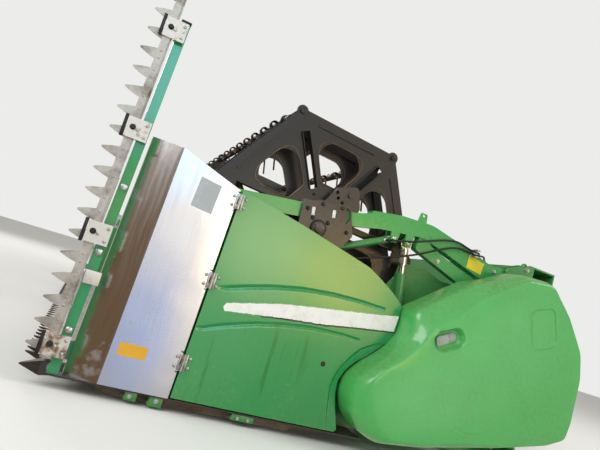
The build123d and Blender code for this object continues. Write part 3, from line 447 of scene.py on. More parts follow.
def grow(shape, face, way):
    """Extrudes a face by a vector in metres and returns the moved corners."""
    grown = bmesh.ops.extrude_face_region(shape, geom=[face])
    moved = [item for item in grown["geom"] if isinstance(item, bmesh.types.BMVert)]
    bmesh.ops.translate(shape, verts=moved, vec=way)
    return moved


def slab(shape, outline, x0, x1, rounded=0.0):
    """Plate with an outline of (y, z) from x0 to x1, its edges rounded."""
    face = shape.faces.new([shape.verts.new(at(x0, y, z)) for y, z in outline])
    moved = grow(shape, face, ((x1 - x0) / 1000, 0, 0))
    if rounded:
        edges = list({edge for vert in list(face.verts) + moved for edge in vert.link_edges})
        bmesh.ops.bevel(
            shape, geom=edges, offset=rounded / 1000, segments=2, profile=0.5, affect="EDGES", material=-1
        )


stainless = bare_metal(
    "stainless",
    "#E4E6EA",
    "#7D7466",
    roughness=0.2,
    stained=0.0,
    grain_m=0.3,
    along=(1, 1, 0.06),
    metallic=1.0,
    dents=((HALF, 215, 135, 60), (HALF, 100, 640, 110), (HALF, 60, 330, 90), (HALF, 190, 420, 80)),
)
BOX_LEAN = radians(1.5)
# Plan of the folded sheet at the foot, from the rear face round the front and back along the inside
BOX_PLAN = (
    (HALF, 400.0),
    (HALF, -2.0),
    (HALF - 44, -115.0),
    (HALF - 100, -115.0),
    (HALF - 100, -111.0),
    (HALF - 60, -111.0),
    (HALF - 60, 400.0),
)
# Planes that cut it off at the foot, at the hinges and along the two slanted tops: y, z, outward y and z
BOX_CUTS = (
    (0.0, 50.0, 0.0, -1.0),
    (246.0, 50.0, 0.9997, -0.0252),
    (266.0, 842.0, 0.2927, 0.9562),
    (21.0, 917.0, 0.0653, 0.9979),
)


def box_sheet(shape):
    foot = shape.faces.new([shape.verts.new(at(x, y, -50)) for x, y in BOX_PLAN])
    grow(shape, foot, (0, 1.2 * tan(BOX_LEAN), 1.2))
    bmesh.ops.translate(shape, verts=shape.verts, vec=(0, -0.1 * tan(BOX_LEAN), 0))
    for y, z, out_y, out_z in BOX_CUTS:
        everything = shape.verts[:] + shape.edges[:] + shape.faces[:]
        cut = bmesh.ops.bisect_plane(
            shape,
            geom=everything,
            dist=1e-6,
            plane_co=at(0, y, z),
            plane_no=(0, out_y, out_z),
            clear_outer=True,
        )
        rim = [item for item in cut["geom_cut"] if isinstance(item, bmesh.types.BMEdge)]
        bmesh.ops.edgenet_fill(shape, edges=rim)
    folds = []
    for edge in shape.edges:
        foot, top = (vert.co for vert in edge.verts)
        if min(foot.x, top.x) > (HALF - 50) / 1000 and abs(foot.z - top.z) > 0.4:
            folds.append(edge)
    bmesh.ops.bevel(shape, geom=folds, offset=0.002, segments=2, profile=0.5, affect="EDGES", material=-1)


for sheet in both_ends("box_sheet", box_sheet, stainless, "header", 20):
    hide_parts("side_box_" + sheet.name.rsplit("_", 1)[1])
FILM = 0.4


def grey_label(shape):
    slab(shape, ((105, 728), (186, 720), (193, 832), (112, 841)), HALF, HALF + FILM, 0.1)


def yellow_label(shape):
    slab(shape, ((28, 159), (126, 159), (126, 203), (28, 204)), HALF, HALF + FILM, 0.1)


grey_film = moulded("grey_film", "#A9AEB2", "#C9CBCB", roughness=0.4)
yellow_film = moulded("yellow_film", "#E2A91F", "#C9A24A", roughness=0.35)
both_ends("grey_label", grey_label, grey_film, "header", 20)
both_ends("yellow_label", yellow_label, yellow_film, "header", 20)

# Side panels: pressed sheet doors in glossy green enamel, streaked by rain, with a worn white stripe
# of film, a quarter-turn lock and hinges screwed to box and panel over black packing

panel_enamel = enamel(
    "panel_enamel",
    "#149048",
    "#9FA37E",
    roughness=0.2,
    dust_and_shade_share=0.25,
    coat=0.8,
    streaks=0.7,
    chips=("#7FA878", 0.73),
)
HINGE_Z = (183.0, 490.0, 798.0)
HINGE_LEAN = radians(1.6)
HINGE_R = 7.0


def hinge_y(z):
    """Line of the hinges, which leans back."""
    return 252.0 + (z - 53.0) * tan(HINGE_LEAN)


# Rear and top edge of the panel, and the line where its rear border steps in, from the bottom up
PANEL_EDGE = (
    (926, 55), (936, 66), (905, 146), (886, 205), (884, 257), (904, 304), (941, 346), (989, 384),
    (1035, 428), (1070, 470), (1083, 519), (1083, 571), (1080, 618), (1021, 658), (947, 697),
    (883, 727), (753, 755), (545, 799), (369, 831), (279, 846),
)
PANEL_STEP = (
    (892, 40), (882, 85), (872, 124), (864, 171), (855, 226), (866, 278), (883, 316), (909, 355),
    (944, 397), (990, 425), (1022, 438), (1100, 448),
)
GROOVES = (
    ((322, 476), (395, 501), (509, 534), (631, 560), (763, 576), (880, 581), (1001, 580)),
    ((278, 313), (370, 348), (483, 383), (588, 406), (717, 425), (838, 431), (921, 429)),
)
GROOVE_DEEP = 4.0
STEP_DEEP = 3.5
PANEL_DEEP = 30.0


def edge_y(line, z):
    """Y of a line that rises all the way, at height z."""
    for (y0, z0), (y1, z1) in zip(line, line[1:]):
        if z <= z1:
            return y0 + (y1 - y0) * (z - z0) / (z1 - z0)
    return line[-1][0]


def line_distance(line, y, z):
    """Distance from a place to a line of points."""
    nearest = 1e9
    for (y0, z0), (y1, z1) in zip(line, line[1:]):
        long_y, long_z = y1 - y0, z1 - z0
        t = ((y - y0) * long_y + (z - z0) * long_z) / (long_y * long_y + long_z * long_z)
        t = min(max(t, 0.0), 1.0)
        nearest = min(nearest, hypot(y - y0 - t * long_y, z - z0 - t * long_z))
    return nearest


def smooth_step(value, low, high):
    t = min(max((value - low) / (high - low), 0.0), 1.0)
    return t * t * (3 - 2 * t)


def pressed(y, z):
    """How deep the grooves and the rear border are pressed in at a place."""
    deep = 0.0
    if 300 < z < 595:
        for line in GROOVES:
            deep += GROOVE_DEEP * (1 - smooth_step(line_distance(line, y, z), 2.0, 7.5))
    if z < 452 and y > 845:
        past = line_distance(PANEL_STEP, y, z)
        if y < edge_y(PANEL_STEP, z):
            past = -past
        deep += STEP_DEEP * smooth_step(past, -4.0, 3.0)
    return deep


def join(shape, rings, closed=True):
    """Faces between rings of equally many points, or between open rows of them."""
    for ring, following in zip(rings, rings[1:]):
        for j in range(len(ring) if closed else len(ring) - 1):
            near = (j + 1) % len(ring)
            shape.faces.new((ring[j], ring[near], following[near], following[j]))


def panel_sheet(shape):
    levels = [55.0 + 6 * k for k in range(41)] + [301.0 + 2.5 * k for k in range(1, 117)]
    levels += [591.0 + 6 * k for k in range(1, 43)] + [845.5]
    across = [0.85 * k / 50 for k in range(50)] + [0.85 + 0.15 * k / 36 for k in range(37)]
    rows = []
    for z in levels:
        start = hinge_y(z) + 1
        near = (-8, -4, 0, 4, 8) if 75 < z < 600 else (0,)
        end = sum(edge_y(PANEL_EDGE, z + off) for off in near) / len(near)
        row = []
        for t in across:
            y = start + (end - start) * t
            row.append(shape.verts.new(at(HALF - pressed(y, z), y, z)))
        rows.append(row)
    join(shape, rows, closed=False)
    rim = [edge for edge in shape.edges if edge.is_boundary]
    folded = bmesh.ops.extrude_edge_only(shape, edges=rim)
    moved = [item for item in folded["geom"] if isinstance(item, bmesh.types.BMVert)]
    for vert in moved:
        vert.co.x = (HALF - PANEL_DEEP) / 1000
    bmesh.ops.recalc_face_normals(shape, faces=shape.faces)
    bmesh.ops.solidify(shape, geom=shape.faces[:], thickness=0.003)


def block(shape, low, high, rounded=1.0):
    """Block between two corners in millimetres, its edges rounded."""
    (x0, y0, z0), (x1, y1, z1) = low, high
    slab(shape, ((y0, z0), (y1, z0), (y1, z1), (y0, z1)), x0, x1, rounded)


def knuckle(shape, z, tall):
    """Barrel of a hinge, round the leaning line of the hinges."""
    lean = (0, sin(HINGE_LEAN), cos(HINGE_LEAN))
    fastener(shape, at(HALF + HINGE_R + 2, hinge_y(z), z), lean, 2 * HINGE_R, tall, ROD)


def box_hinges(shape):
    for z in HINGE_Z:
        y = hinge_y(z)
        for up in (-20, 20):
            knuckle(shape, z + up, 19)
            block(shape, (HALF + 0.2, y - 10, z + up - 9.5), (HALF + 4, y - 1, z + up + 9.5), 0.5)
        block(shape, (HALF - 0.5, y - 15, z - 30), (HALF + 4, y - 9.6, z + 30), 0.5)


def panel_hinges(shape):
    for z in HINGE_Z:
        y = hinge_y(z)
        knuckle(shape, z, 19.5)
        block(shape, (HALF + 0.2, y + 1, z - 9.5), (HALF + 4, y + 10, z + 9.5), 0.5)
        block(shape, (HALF + 0.2, y + 9.6, z - 30), (HALF + 4, y + 15, z + 30), 0.5)


for sheet in both_ends("panel_sheet", panel_sheet, panel_enamel, "side_panel_body_{}", 40):
    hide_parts("side_panel_" + sheet.name.rsplit("_", 1)[1])


def hinge_screws(away):
    """Screws of the hinges' leaves, that far behind the line of the hinges."""

    def make(shape):
        heights = [z + up for z in HINGE_Z for up in (-17, 17)]
        screws(shape, HALF, [(hinge_y(z) + away, z) for z in heights], 13, 5, DOME)

    return make


def hinge_packing(shape):
    for z in HINGE_Z:
        y = hinge_y(z)
        for up in (-1, 1):
            block(shape, (HALF + 0.1, y - 15, z + up * 36 - 2), (HALF + 5, y - 4, z + up * 36 + 2), 0.6)


def panel_lock(shape):
    fastener(shape, at(HALF, 797, 302), (1, 0, 0), 20, 3, DOME)


stripe_film = moulded("stripe_film", "#F1F1EE", "#C7CBC2", roughness=0.3)
stripe_edge = moulded("stripe_edge", "#1B201D", "#48705A", roughness=0.4, ragged=0.3)
STRIPE_TOP = ((344, 428), (563, 483), (691, 505), (984, 552), (1080, 571))
STRIPE_LOW = ((346, 398), (487, 418), (596, 434), (744, 450), (896, 476), (1074, 503))


def torn(line, wide, step=9.0):
    """Points along a line, torn out of true by up to wide millimetres."""
    points = []
    for (y0, z0), (y1, z1) in zip(line, line[1:]):
        count = max(int(hypot(y1 - y0, z1 - z0) / step), 1)
        for k in range(count):
            y, z = y0 + (y1 - y0) * k / count, z0 + (z1 - z0) * k / count
            off = sin(y * 0.31) + 0.7 * sin(y * 0.83 + 1.0) + 0.5 * sin(y * 0.117 + 2.0)
            points.append((y, z + wide * off / 2.2))
    points.append(line[-1])
    return points


def white_stripe(shape):
    outline = torn(STRIPE_TOP, 1.6)[::-1] + [(337, 412)] + torn(STRIPE_LOW, 2.2)
    slab(shape, outline[::-1], HALF + 0.05, HALF + FILM)


def stripe_border(shape):
    line = STRIPE_LOW[1:]
    below = [(y, z - 6.5) for y, z in line]
    above = [(y, z + 4) for y, z in line]
    slab(shape, torn(above, 0.0) + torn(below, 3.0)[::-1], HALF + 0.02, HALF + FILM / 2)


both_ends("box_hinge_screws", hinge_screws(-24), zinc_screw, "header")
both_ends("panel_hinge_screws", hinge_screws(24), zinc_screw, "side_panel_body_{}")
both_ends("hinge_packing", hinge_packing, rubber, "header")
both_ends("panel_hinges", panel_hinges, zinc_screw, "side_panel_body_{}")
both_ends("box_hinges", box_hinges, zinc_screw, "header")
both_ends("panel_lock", panel_lock, dark_screw, "side_panel_body_{}")
both_ends("white_stripe", white_stripe, stripe_film, "side_panel_body_{}", 20)
both_ends("stripe_border", stripe_border, stripe_edge, "side_panel_body_{}", 20)

# End shields: large covers moulded in green plastic, soft round the nose and with a crease along the
# top. A finger recess holds a latch plate, a fine bead frames a flat seat, two knuckles carry the rear.

SHIELD_OUT = HALF + 150.0
SHIELD_MIDDLE = Vector((1450.0, 420.0))
# Columns: y, z, radius of the corner, how much of the rounding's full width the corner has, and how
# sharp the bend towards the side is there
SHIELD_CORNERS = (
    (1090, 612, 60, 1.0, 1.0),
    (1092, 510, 90, 0.55, 0.6),
    (1041, 424, 200, 0.4, 0.3),
    (960, 354, 150, 0.4, 0.2),
    (906, 288, 90, 0.5, 0.0),
    (904, 220, 90, 0.65, 0.0),
    (933, 150, 100, 0.65, 0.0),
    (985, 96, 80, 0.6, 0.0),
    (1060, 68, 80, 0.5, 0.0),
    (1250, 84, 300, 0.4, 0.0),
    (1640, 148, 300, 0.3, 0.0),
    (1905, 212, 150, 0.2, 0.0),
    (2006, 258, 40, 0.14, 0.0),
    (2020, 340, 60, 0.12, 0.0),
    (2020, 540, 150, 0.12, 0.0),
    (1990, 655, 150, 0.12, 0.0),
    (1876, 800, 200, 0.15, 0.2),
    (1752, 924, 70, 0.3, 0.5),
    (1600, 914, 60, 0.35, 0.8),
    (1480, 852, 100, 0.4, 1.0),
    (1347, 798, 150, 0.68, 1.0),
)
AROUND = 340
RINGS = 86
RECESS = Vector((1248.0, 537.0))
RECESS_TURN = radians(24)
SEAT = Vector((1724.0, 706.0))
SEAT_TURN = radians(20)
SEAT_HALF = Vector((35.0, 52.0))


def welt(shape, line, x, reach):
    """Half-round rolled edge along a closed line of (y, z)."""
    rings = []
    for j, place in enumerate(line):
        ahead = line[(j + 1) % len(line)] - line[j - 1]
        across = Vector((-ahead.y, ahead.x)).normalized()
        ring = []
        for angle in (0, 60, 120, 180):
            spot = place + across * cos(radians(angle)) * reach
            ring.append(shape.verts.new(at(x + sin(radians(angle)) * reach, spot.x, spot.y)))
        rings.append(ring)
    join(shape, rings + rings[:1])


def round_corners(corners):
    """Closed line with rounded corners: (y, z), and whatever else its corner holds after the radius."""
    line = []
    for k, (y, z, radius, *rest) in enumerate(corners):
        corner = Vector((y, z))
        before = Vector(corners[k - 1][:2]) - corner
        after = Vector(corners[(k + 1) % len(corners)][:2]) - corner
        reach = radius / tan(before.angle(after) / 2)
        start = corner + before.normalized() * reach
        end = corner + after.normalized() * reach
        for j in range(9):
            t = j / 8
            line.append((start * (1 - t) ** 2 + corner * 2 * t * (1 - t) + end * t * t, rest))
    return line


def shield_outline():
    """Even points round the shield, each with the share and the sharpness of the rounding there."""
    line = [(place, Vector(rest)) for place, rest in round_corners(SHIELD_CORNERS)]
    line.append(line[0])
    lengths = [(b[0] - a[0]).length for a, b in zip(line, line[1:])]
    step = sum(lengths) / AROUND
    points = []
    run, k = 0.0, 0
    for j in range(AROUND):
        while run + lengths[k] < j * step:
            run += lengths[k]
            k += 1
        t = (j * step - run) / lengths[k]
        (a, share_a), (b, share_b) = line[k], line[k + 1]
        points.append((a.lerp(b, t), share_a + (share_b - share_a) * t))
    shares = [share for _, share in points]
    for _ in range(12):
        shares = [(shares[j - 1] + shares[j] + shares[(j + 1) % AROUND]) / 3 for j in range(AROUND)]
    return [(place, share) for (place, _), share in zip(points, shares)]


def shield_hollow(place):
    """How far the finger recess and the flat seat lie below the side, in millimetres."""
    spot = Matrix.Rotation(-RECESS_TURN, 2) @ (place - RECESS)
    along = max(abs(spot.x) - 33.0, 0.0)
    recess = 28 * (1 - smooth_step(Vector((along, spot.y)).length, 32.0, 44.0))
    spot = Matrix.Rotation(-SEAT_TURN, 2) @ (place - SEAT)
    along = Vector((max(abs(spot.x) - SEAT_HALF.x, 0.0), max(abs(spot.y) - SEAT_HALF.y, 0.0)))
    seat = 1.5 * (1 - smooth_step(along.length, 34.0, 38.0))
    return recess + seat


# Profile of the slope along the top: how far below the side and how far in from the outline, each bend
# with a point before and after it
SLOPE = ((110.0, 0.0), (74.0, 0.0), (60.0, 12.0), (9.0, 84.0), (4.0, 92.0), (5.0, 108.0))


def slope_point(t):
    """X and inset at a share of the way along the slope's profile."""
    if t < 0.4:
        start, bend, end = SLOPE[0:3]
        t = t / 0.4
    elif t < 0.6:
        start, end = SLOPE[2:4]
        bend = ((start[0] + end[0]) / 2, (start[1] + end[1]) / 2)
        t = (t - 0.4) / 0.2
    else:
        start, bend, end = SLOPE[3:6]
        t = (t - 0.6) / 0.4
    below, inset = (a * (1 - t) ** 2 + b * 2 * t * (1 - t) + c * t * t for a, b, c in zip(start, bend, end))
    return SHIELD_OUT - below, inset


def shield_skin(shape):
    outline = shield_outline()
    stations = [((HALF - 30.0, 0.0), (HALF - 30.0, 0.0))] + [
        ((SHIELD_OUT - 5 - 85 * (1 - sin(radians(a))), 110 * (1 - cos(radians(a)))), slope_point(a / 90))
        for a in range(0, 91, 5)
    ]
    rings = []
    for rounding, slope in stations:
        ring = []
        for place, share in outline:
            x, inset = (a + (b - a) * share.y for a, b in zip(rounding, slope))
            from_middle = place - SHIELD_MIDDLE
            left = 1 - inset * share.x / from_middle.length
            spot = SHIELD_MIDDLE + from_middle * left
            ring.append(shape.verts.new(at(x, spot.x, spot.y)))
        rings.append(ring)
    edge = [Vector((vert.co.y * 1000 + MIDDLE_Y, vert.co.z * 1000)) for vert in rings[-1]]
    for k in range(1, RINGS):
        left = 1 - k / RINGS
        ring = []
        for place in edge:
            spot = SHIELD_MIDDLE.lerp(place, left)
            x = SHIELD_OUT - 5 * left**3 - shield_hollow(spot)
            ring.append(shape.verts.new(at(x, spot.x, spot.y)))
        rings.append(ring)
    join(shape, rings)
    shape.faces.new(rings[-1])
    bmesh.ops.recalc_face_normals(shape, faces=shape.faces)
    bmesh.ops.solidify(shape, geom=shape.faces[:], thickness=0.005)
    for z in (350.0, 490.0):
        fastener(shape, at(HALF - 5, 1950, z), (0, 0, 1), 28, 30, ((24, 0.5, 0.5, -0.5, 0.5),))
        block(shape, (HALF - 9, 1955, z - 15), (HALF - 1, 2008, z + 15))


# The shields' up-facing tone is a darker olive than the paint: painted shade along the top slope, laid on
# in dust-like specks.
shield_green = enamel(
    "shield_green",
    "#4DB860",
    "#57823A",
    roughness=0.3,
    dust_and_shade_share=0.75,
    peel=0.3,
    coat=0.6,
    marks=((1449.0, 380.0, 190.0), (870.0, 40.0, 150.0)),
)
LATCH = ((-50, -14), (-44, -22), (40, -14), (46, -6), (46, 10), (30, 22), (-42, 20), (-50, 12))


def turned(points, middle, angle):
    """Points of (y, z) turned by an angle and set round a middle."""
    turn = Matrix.Rotation(angle, 2)
    return [middle + turn @ Vector(point) for point in points]


def latch_plate(shape):
    slab(shape, turned(LATCH, RECESS, RECESS_TURN), SHIELD_OUT - 29, SHIELD_OUT - 24, 1.5)


def latch_screws(shape):
    places = turned(((-34, 0), (14, 10), (14, -8)), RECESS, RECESS_TURN)
    screws(shape, SHIELD_OUT - 24, places, 11, 4, DOME)


def seat_bead(shape):
    line = []
    for k in range(72):
        angle = radians(5 * k + 0.5)
        along, across = cos(angle), sin(angle)
        middle = Vector((copysign(SEAT_HALF.x, along), copysign(SEAT_HALF.y, across)))
        line.append(middle + Vector((along, across)) * 38)
    welt(shape, turned(line, SEAT, SEAT_TURN), SHIELD_OUT - 3.2, 2.6)


for skin in both_ends("shield_skin", shield_skin, shield_green, "end_shield_body_{}", 50):
    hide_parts("end_shield_" + skin.name.rsplit("_", 1)[1])
grey_plastic = moulded("grey_plastic", "#A9B0AA", "#C6CBC5", roughness=0.5)
both_ends("latch_plate", latch_plate, grey_plastic, "end_shield_body_{}")
both_ends("latch_screws", latch_screws, zinc_screw, "end_shield_body_{}")
both_ends("badge_bead", seat_bead, shield_green, "end_shield_body_{}", 60)

# Side knives: hardened sections riveted to a flat bar, which slides between zinc-plated guide plates
# screwed to the green post with black plastic packing. The lowest plate has rusted.

dress(enamel("post_enamel", "#1B8A42", DUST, roughness=0.12, dust_and_shade_share=0.15, peel=0.08, coat=1.0), "side_post")
zinc = bare_metal("zinc", "#C4C0B8", "#5C4331", roughness=0.5, stained=0.5, metallic=0.75)
dress(zinc, "side_knife", "main_knife")
plate_zinc = bare_metal(
    "plate_zinc", "#DEDAD2", "#7A5636", roughness=0.5, stained=0.15, grain_m=0.05, metallic=0.6, low=0.22
)
dress(plate_zinc, "knife_clamps")
PITCH = 76.2
KNIFE_OUT = HALF + 4.0
CLAMP_Z = (144.0, 534.0, 917.0, 1308.0)


def knife_y(z):
    """Line of the tips of the side knife's sections, which leans back."""
    return -256.0 + (z - 136.0) * tan(radians(1.06))


def post_y(z):
    """Middle of the post, which leans back a little more than the knife."""
    return -143.0 + (z - 178.0) * tan(radians(1.32))


def section_rivets(shape):
    for k in range(18):
        for up in (-14, 14):
            z = 136.0 + k * PITCH + up
            if min(abs(z - clamp) for clamp in CLAMP_Z) > 64:
                fastener(shape, at(KNIFE_OUT, knife_y(z) + 69, z), (1, 0, 0), 10, 2.5, DOME)


def clamp_blocks(shape):
    for z in CLAMP_Z:
        front = knife_y(z) + 50
        block(shape, (KNIFE_OUT + 0.8, front - 13, z - 41), (KNIFE_OUT + 7, front - 1, z + 41), 1.0)
        fastener(shape, at(KNIFE_OUT + 6, front + 22, z + 2), (1, 0, 0), 17, 7)


def clamp_screws(shape):
    for z in CLAMP_Z:
        front = knife_y(z) + 50
        for y, up, wide in ((39, -2, 12), (67, 22, 12), (67, -22, 12)):
            fastener(shape, at(KNIFE_OUT + 6, front + y, z + up), (1, 0, 0), wide, 4, DOME)
    for z in (711.0, 474.0, 199.0):
        fastener(shape, at(HALF - 5, post_y(z), z), (1, 0, 0), 24, 5, DOME)


def post_caps(shape):
    y = post_y(1355.0)
    block(shape, (HALF - 46, y - 19, 1352), (HALF - 4, y + 19, 1362), 2.0)
    y = post_y(128.0)
    for up in (-26, 26):
        for across in (-30, 30):
            fastener(shape, at(HALF - 57, y + across, 128 + up), (-1, 0, 0), 12, 6)


def guide_plate(shape):
    y = post_y(385.0)
    block(shape, (HALF - 4.9, y - 16, 362), (HALF - 1.5, y + 36, 408), 0.6)


both_ends("section_rivets", section_rivets, zinc, "side_knife_body_{}")
both_ends("clamp_blocks", clamp_blocks, rubber, "header")
both_ends("clamp_screws", clamp_screws, zinc_screw, "header")
both_ends("post_caps", post_caps, rubber, "header")
both_ends("guide_plate", guide_plate, plate_zinc, "header")

# Main knife: its sections' rivets, and the screws of the guards under the table's front edge


def blade_rivets(shape):
    for k in range(-32, 33):
        for across in (-14, 14):
            fastener(shape, at(k * PITCH + across, -166, 61.3), (0, 0, 1), 9, 2.5, DOME)


new_piece("blade_rivets", blade_rivets, zinc, "main_knife_body")


def guard_screws(shape):
    for k in range(-33, 34):
        fastener(shape, at(k * PITCH, -172, 46), (0, 0, -1), 15, 8)


new_piece("guard_screws", guard_screws, dark_screw, "header")

# Auger: a rolled tube with welded flights in dark paint that crop has worn off in patches,
# and steel fingers that run in plastic guides

auger_paint = enamel("auger_paint", "#232524", "#8B7F66", roughness=0.4, chips=("#8F8C86", 0.6))
dress(auger_paint, "auger_drum", "auger_flights")
AUGER = Vector((1475.0, 387.0))
# Flange and collar of a guide, in the rows of a fastener but in millimetres
GUIDE = ((20, 30, 30, -2, 3), (20, 20, 15, 3, 14))


def finger_guides(shape):
    for k in range(18):
        x = (k - 8.5) * 64
        angle = radians(k * 80)
        out = Vector((0, -sin(angle), cos(angle)))
        place = at(x, AUGER.x, AUGER.y) + out * 0.154
        fastener(shape, place, out, 1, 1, GUIDE)
        for turn in range(3):
            swing = Matrix.Rotation(radians(120 * turn), 3, out)
            spot = place + swing @ Vector((0.025, 0, 0)) + out * 0.003
            fastener(shape, spot, out, 7, 3, DOME)


guide_plastic = moulded("guide_plastic", "#2A2B2A", "#5B564C")
new_piece("finger_guides", finger_guides, guide_plastic, "auger")

# Reel: folded spider plates on a tube, carrying six tubes with sprung steel tines. Brownish black
# paint, dusty. Each tine is a double coil under a clamp; the corner bearings are screwed on.

reel_coat = enamel(
    "reel_coat", "#1B1715", "#5A4A3A", roughness=0.38, dust_and_shade_share=0.2, coat=0.2, chips=("#4A392C", 0.68)
)
dress(reel_coat, "reel_spiders", "reel_cam_spider", "reel_tube")
REEL = Vector((640.0, 818.0))
CAM = Vector((675.0, 862.0))
REEL_R = 485.0
SPIDER_END = 2480.0
SPIDER_X = [SPIDER_END * k / 2 for k in (-2, -1, 0, 1, 2)]
TINES = 33
REEL_TURN = 116.2
CAM_FACE = 2566.0


def corner(middle, k, radius=REEL_R):
    """Place of the reel's corner k, or of a point on its spoke."""
    angle = radians(REEL_TURN + 60 * k)
    return middle + Vector((cos(angle), sin(angle))) * radius


def spider_screws(shape):
    for x in SPIDER_X:
        for k in range(6):
            angle = radians(REEL_TURN - 90 + 60 * k)
            across = Vector((cos(angle), sin(angle))) * 21
            screws(shape, x + 2, [corner(REEL, k) - across, corner(REEL, k) + across], 11, 6)
            screws(shape, x + 2, [corner(REEL, k, 98)], 15, 8)


WINDOW = ((165.0, -47.5, 25.0), (352.0, -150.0, 70.0), (352.0, 150.0, 70.0), (165.0, 47.5, 25.0))


def window_line(middle, k):
    """Edge of the window between spokes k and k + 1, its corners rounded."""
    line = [place for place, _ in round_corners(WINDOW)]
    return turned(line, middle, radians(REEL_TURN + 30 + 60 * k))


def spider_rims(shape):
    for x in SPIDER_X:
        for k in range(6):
            welt(shape, window_line(REEL, k), x + 1.9, 2.6)


def cam_rims(shape):
    for k in range(6):
        welt(shape, window_line(CAM, k), CAM_FACE - 0.1, 2.6)


def spoke_flanges(shape):
    for k in range(6):
        along = corner(Vector((0, 0)), k, 1)
        across = Vector((-along.y, along.x))
        for side in (-1, 1):
            inner, outer = CAM + along * 148, CAM + along * 395
            near, far = across * side * 16, across * side * 19
            outline = [inner + near, outer + near, outer + far, inner + far]
            slab(shape, outline, CAM_FACE - 20, CAM_FACE - 3.8)


def cam_screws(shape):
    for k in range(6):
        screws(shape, CAM_FACE, [corner(CAM, k, 122)], 13, 6)
        screws(shape, CAM_FACE + 6, [corner(CAM, k)], 24, 3, DOME)


worn_rim = bare_metal("worn_rim", "#6E5D4E", "#2A211B", roughness=0.3, stained=0.6, metallic=0.7)
new_piece("spider_screws", spider_screws, dark_screw, "reel")
new_piece("cam_screws", cam_screws, dark_screw, "reel_cam")
new_piece("spider_rims", spider_rims, worn_rim, "reel", 60)
new_piece("cam_rims", cam_rims, worn_rim, "reel_cam", 60)
new_piece("spoke_flanges", spoke_flanges, reel_coat, "reel_cam")


def tine_coils(k):
    """Springs of one tube: two helices a tine, and the clamp that holds them."""

    def make(shape):
        spot = corner(REEL, k)
        centre = spot + Vector((-26, -12))
        for tine in range(TINES):
            x = (tine - (TINES - 1) / 2) * 150.0
            if min(abs(x - s) for s in SPIDER_X) < 25:
                x += 30
            for side in (-1, 1):
                rings = []
                for step in range(25):
                    angle = 2 * pi * step / 12
                    out = Vector((0, cos(angle), sin(angle)))
                    place = at(x + side * (6 + 12 * step / 24), centre.x, centre.y) + out * 0.0165
                    ring = []
                    for edge_at in range(5):
                        around = 2 * pi * edge_at / 5
                        reach = (out * cos(around) + Vector((side, 0, 0)) * sin(around)) * 0.0026
                        ring.append(shape.verts.new(place + reach))
                    rings.append(ring)
                join(shape, rings)
                shape.faces.new(rings[0])
                shape.faces.new(rings[-1])
            fastener(shape, at(x, spot.x, spot.y + 16.5), (0, 0, 1), 14, 6)

    return make


tine_steel = bare_metal("tine_steel", "#3A342E", "#5A4331", roughness=0.4, stained=0.6, metallic=0.6)
for k in range(6):
    dress(tine_steel, f"reel_bat_{k + 1}")
    new_piece(f"tine_coils_{k + 1}", tine_coils(k), tine_steel, f"bat_{k + 1}", 60)

# Carriages: black plates that slide on the arms, on white plastic pads, with the reel shaft's bearing

CARRIAGE_X = 2676.0
carriage_coat = enamel(
    "carriage_coat", "#2A2321", "#8A8078", roughness=0.3, dust_and_shade_share=0.5, chips=("#8F8880", 0.66)
)
dress(carriage_coat, "reel_carriages")
pad_plastic = moulded("pad_plastic", "#F2F1EC", "#D8D4C8", roughness=0.4)


def pads(shape):
    corners = ((-8, -17.5), (8, -17.5), (8, 17.5), (-8, 17.5))
    for middle in ((600.0, 881.0), (693.0, 899.0)):
        slab(shape, turned(corners, Vector(middle), radians(8.52)), 2663, CARRIAGE_X - 2, 1.0)


def bearing_seal(shape):
    fastener(shape, at(CARRIAGE_X, REEL.x, REEL.y), (1, 0, 0), 74, 8, ((32, 0.5, 0.47, 0.0, 1.0),))
    angles = [radians(angle) for angle in (45, 135, 225, 315)]
    screws(shape, CARRIAGE_X, [REEL + Vector((cos(angle), sin(angle))) * 50 for angle in angles], 15, 7)


def shaft_nut(shape):
    fastener(shape, at(2682, REEL.x, REEL.y), (1, 0, 0), 44, 12)


def carriage_screws(shape):
    places = ((572, 884), (632, 922), (722, 935), (585, 700), (668, 692), (770, 842))
    screws(shape, CARRIAGE_X, places, 15, 7)
    screws(shape, 2600, [(775, 1014)], 18, 8)


both_ends("carriage_pads", pads, pad_plastic, "carriages")
both_ends("bearing_seal", bearing_seal, rubber, "carriages")
both_ends("shaft_nut", shaft_nut, wear_steel, "reel")
both_ends("carriage_screws", carriage_screws, dark_screw, "carriages")

# Reel arms: welded green beams with pins in their lugs, pivot pins, a bare yellow label, and
# the two hoses of the small ram, clipped to the arm

arm_enamel = enamel(
    "arm_enamel", "#1FA04A", DUST, roughness=0.22, dust_and_shade_share=0.3, coat=0.6, chips=("#4A5A40", 0.7)
)
dress(arm_enamel, "reel_arms")
ARM_OUT = 2662.0


def arm_pins(shape):
    screws(shape, ARM_OUT + 24, [(1674, 910)], 34, 8, DOME)
    screws(shape, ARM_OUT, ((1085, 894), (1010, 894)), 20, 5, DOME)
    screws(shape, ARM_OUT, [(1588, 912)], 18, 8)
    screws(shape, ARM_OUT - 5, [(1262, 866)], 18, 8)


def bracket_screws(shape):
    screws(shape, ARM_OUT + 16, ((1706, 880), (1770, 880), (1770, 975)), 20, 9)


def arm_label(shape):
    slab(shape, ((1424, 887), (1514, 876), (1520, 931), (1424, 946)), ARM_OUT, ARM_OUT + FILM, 0.1)


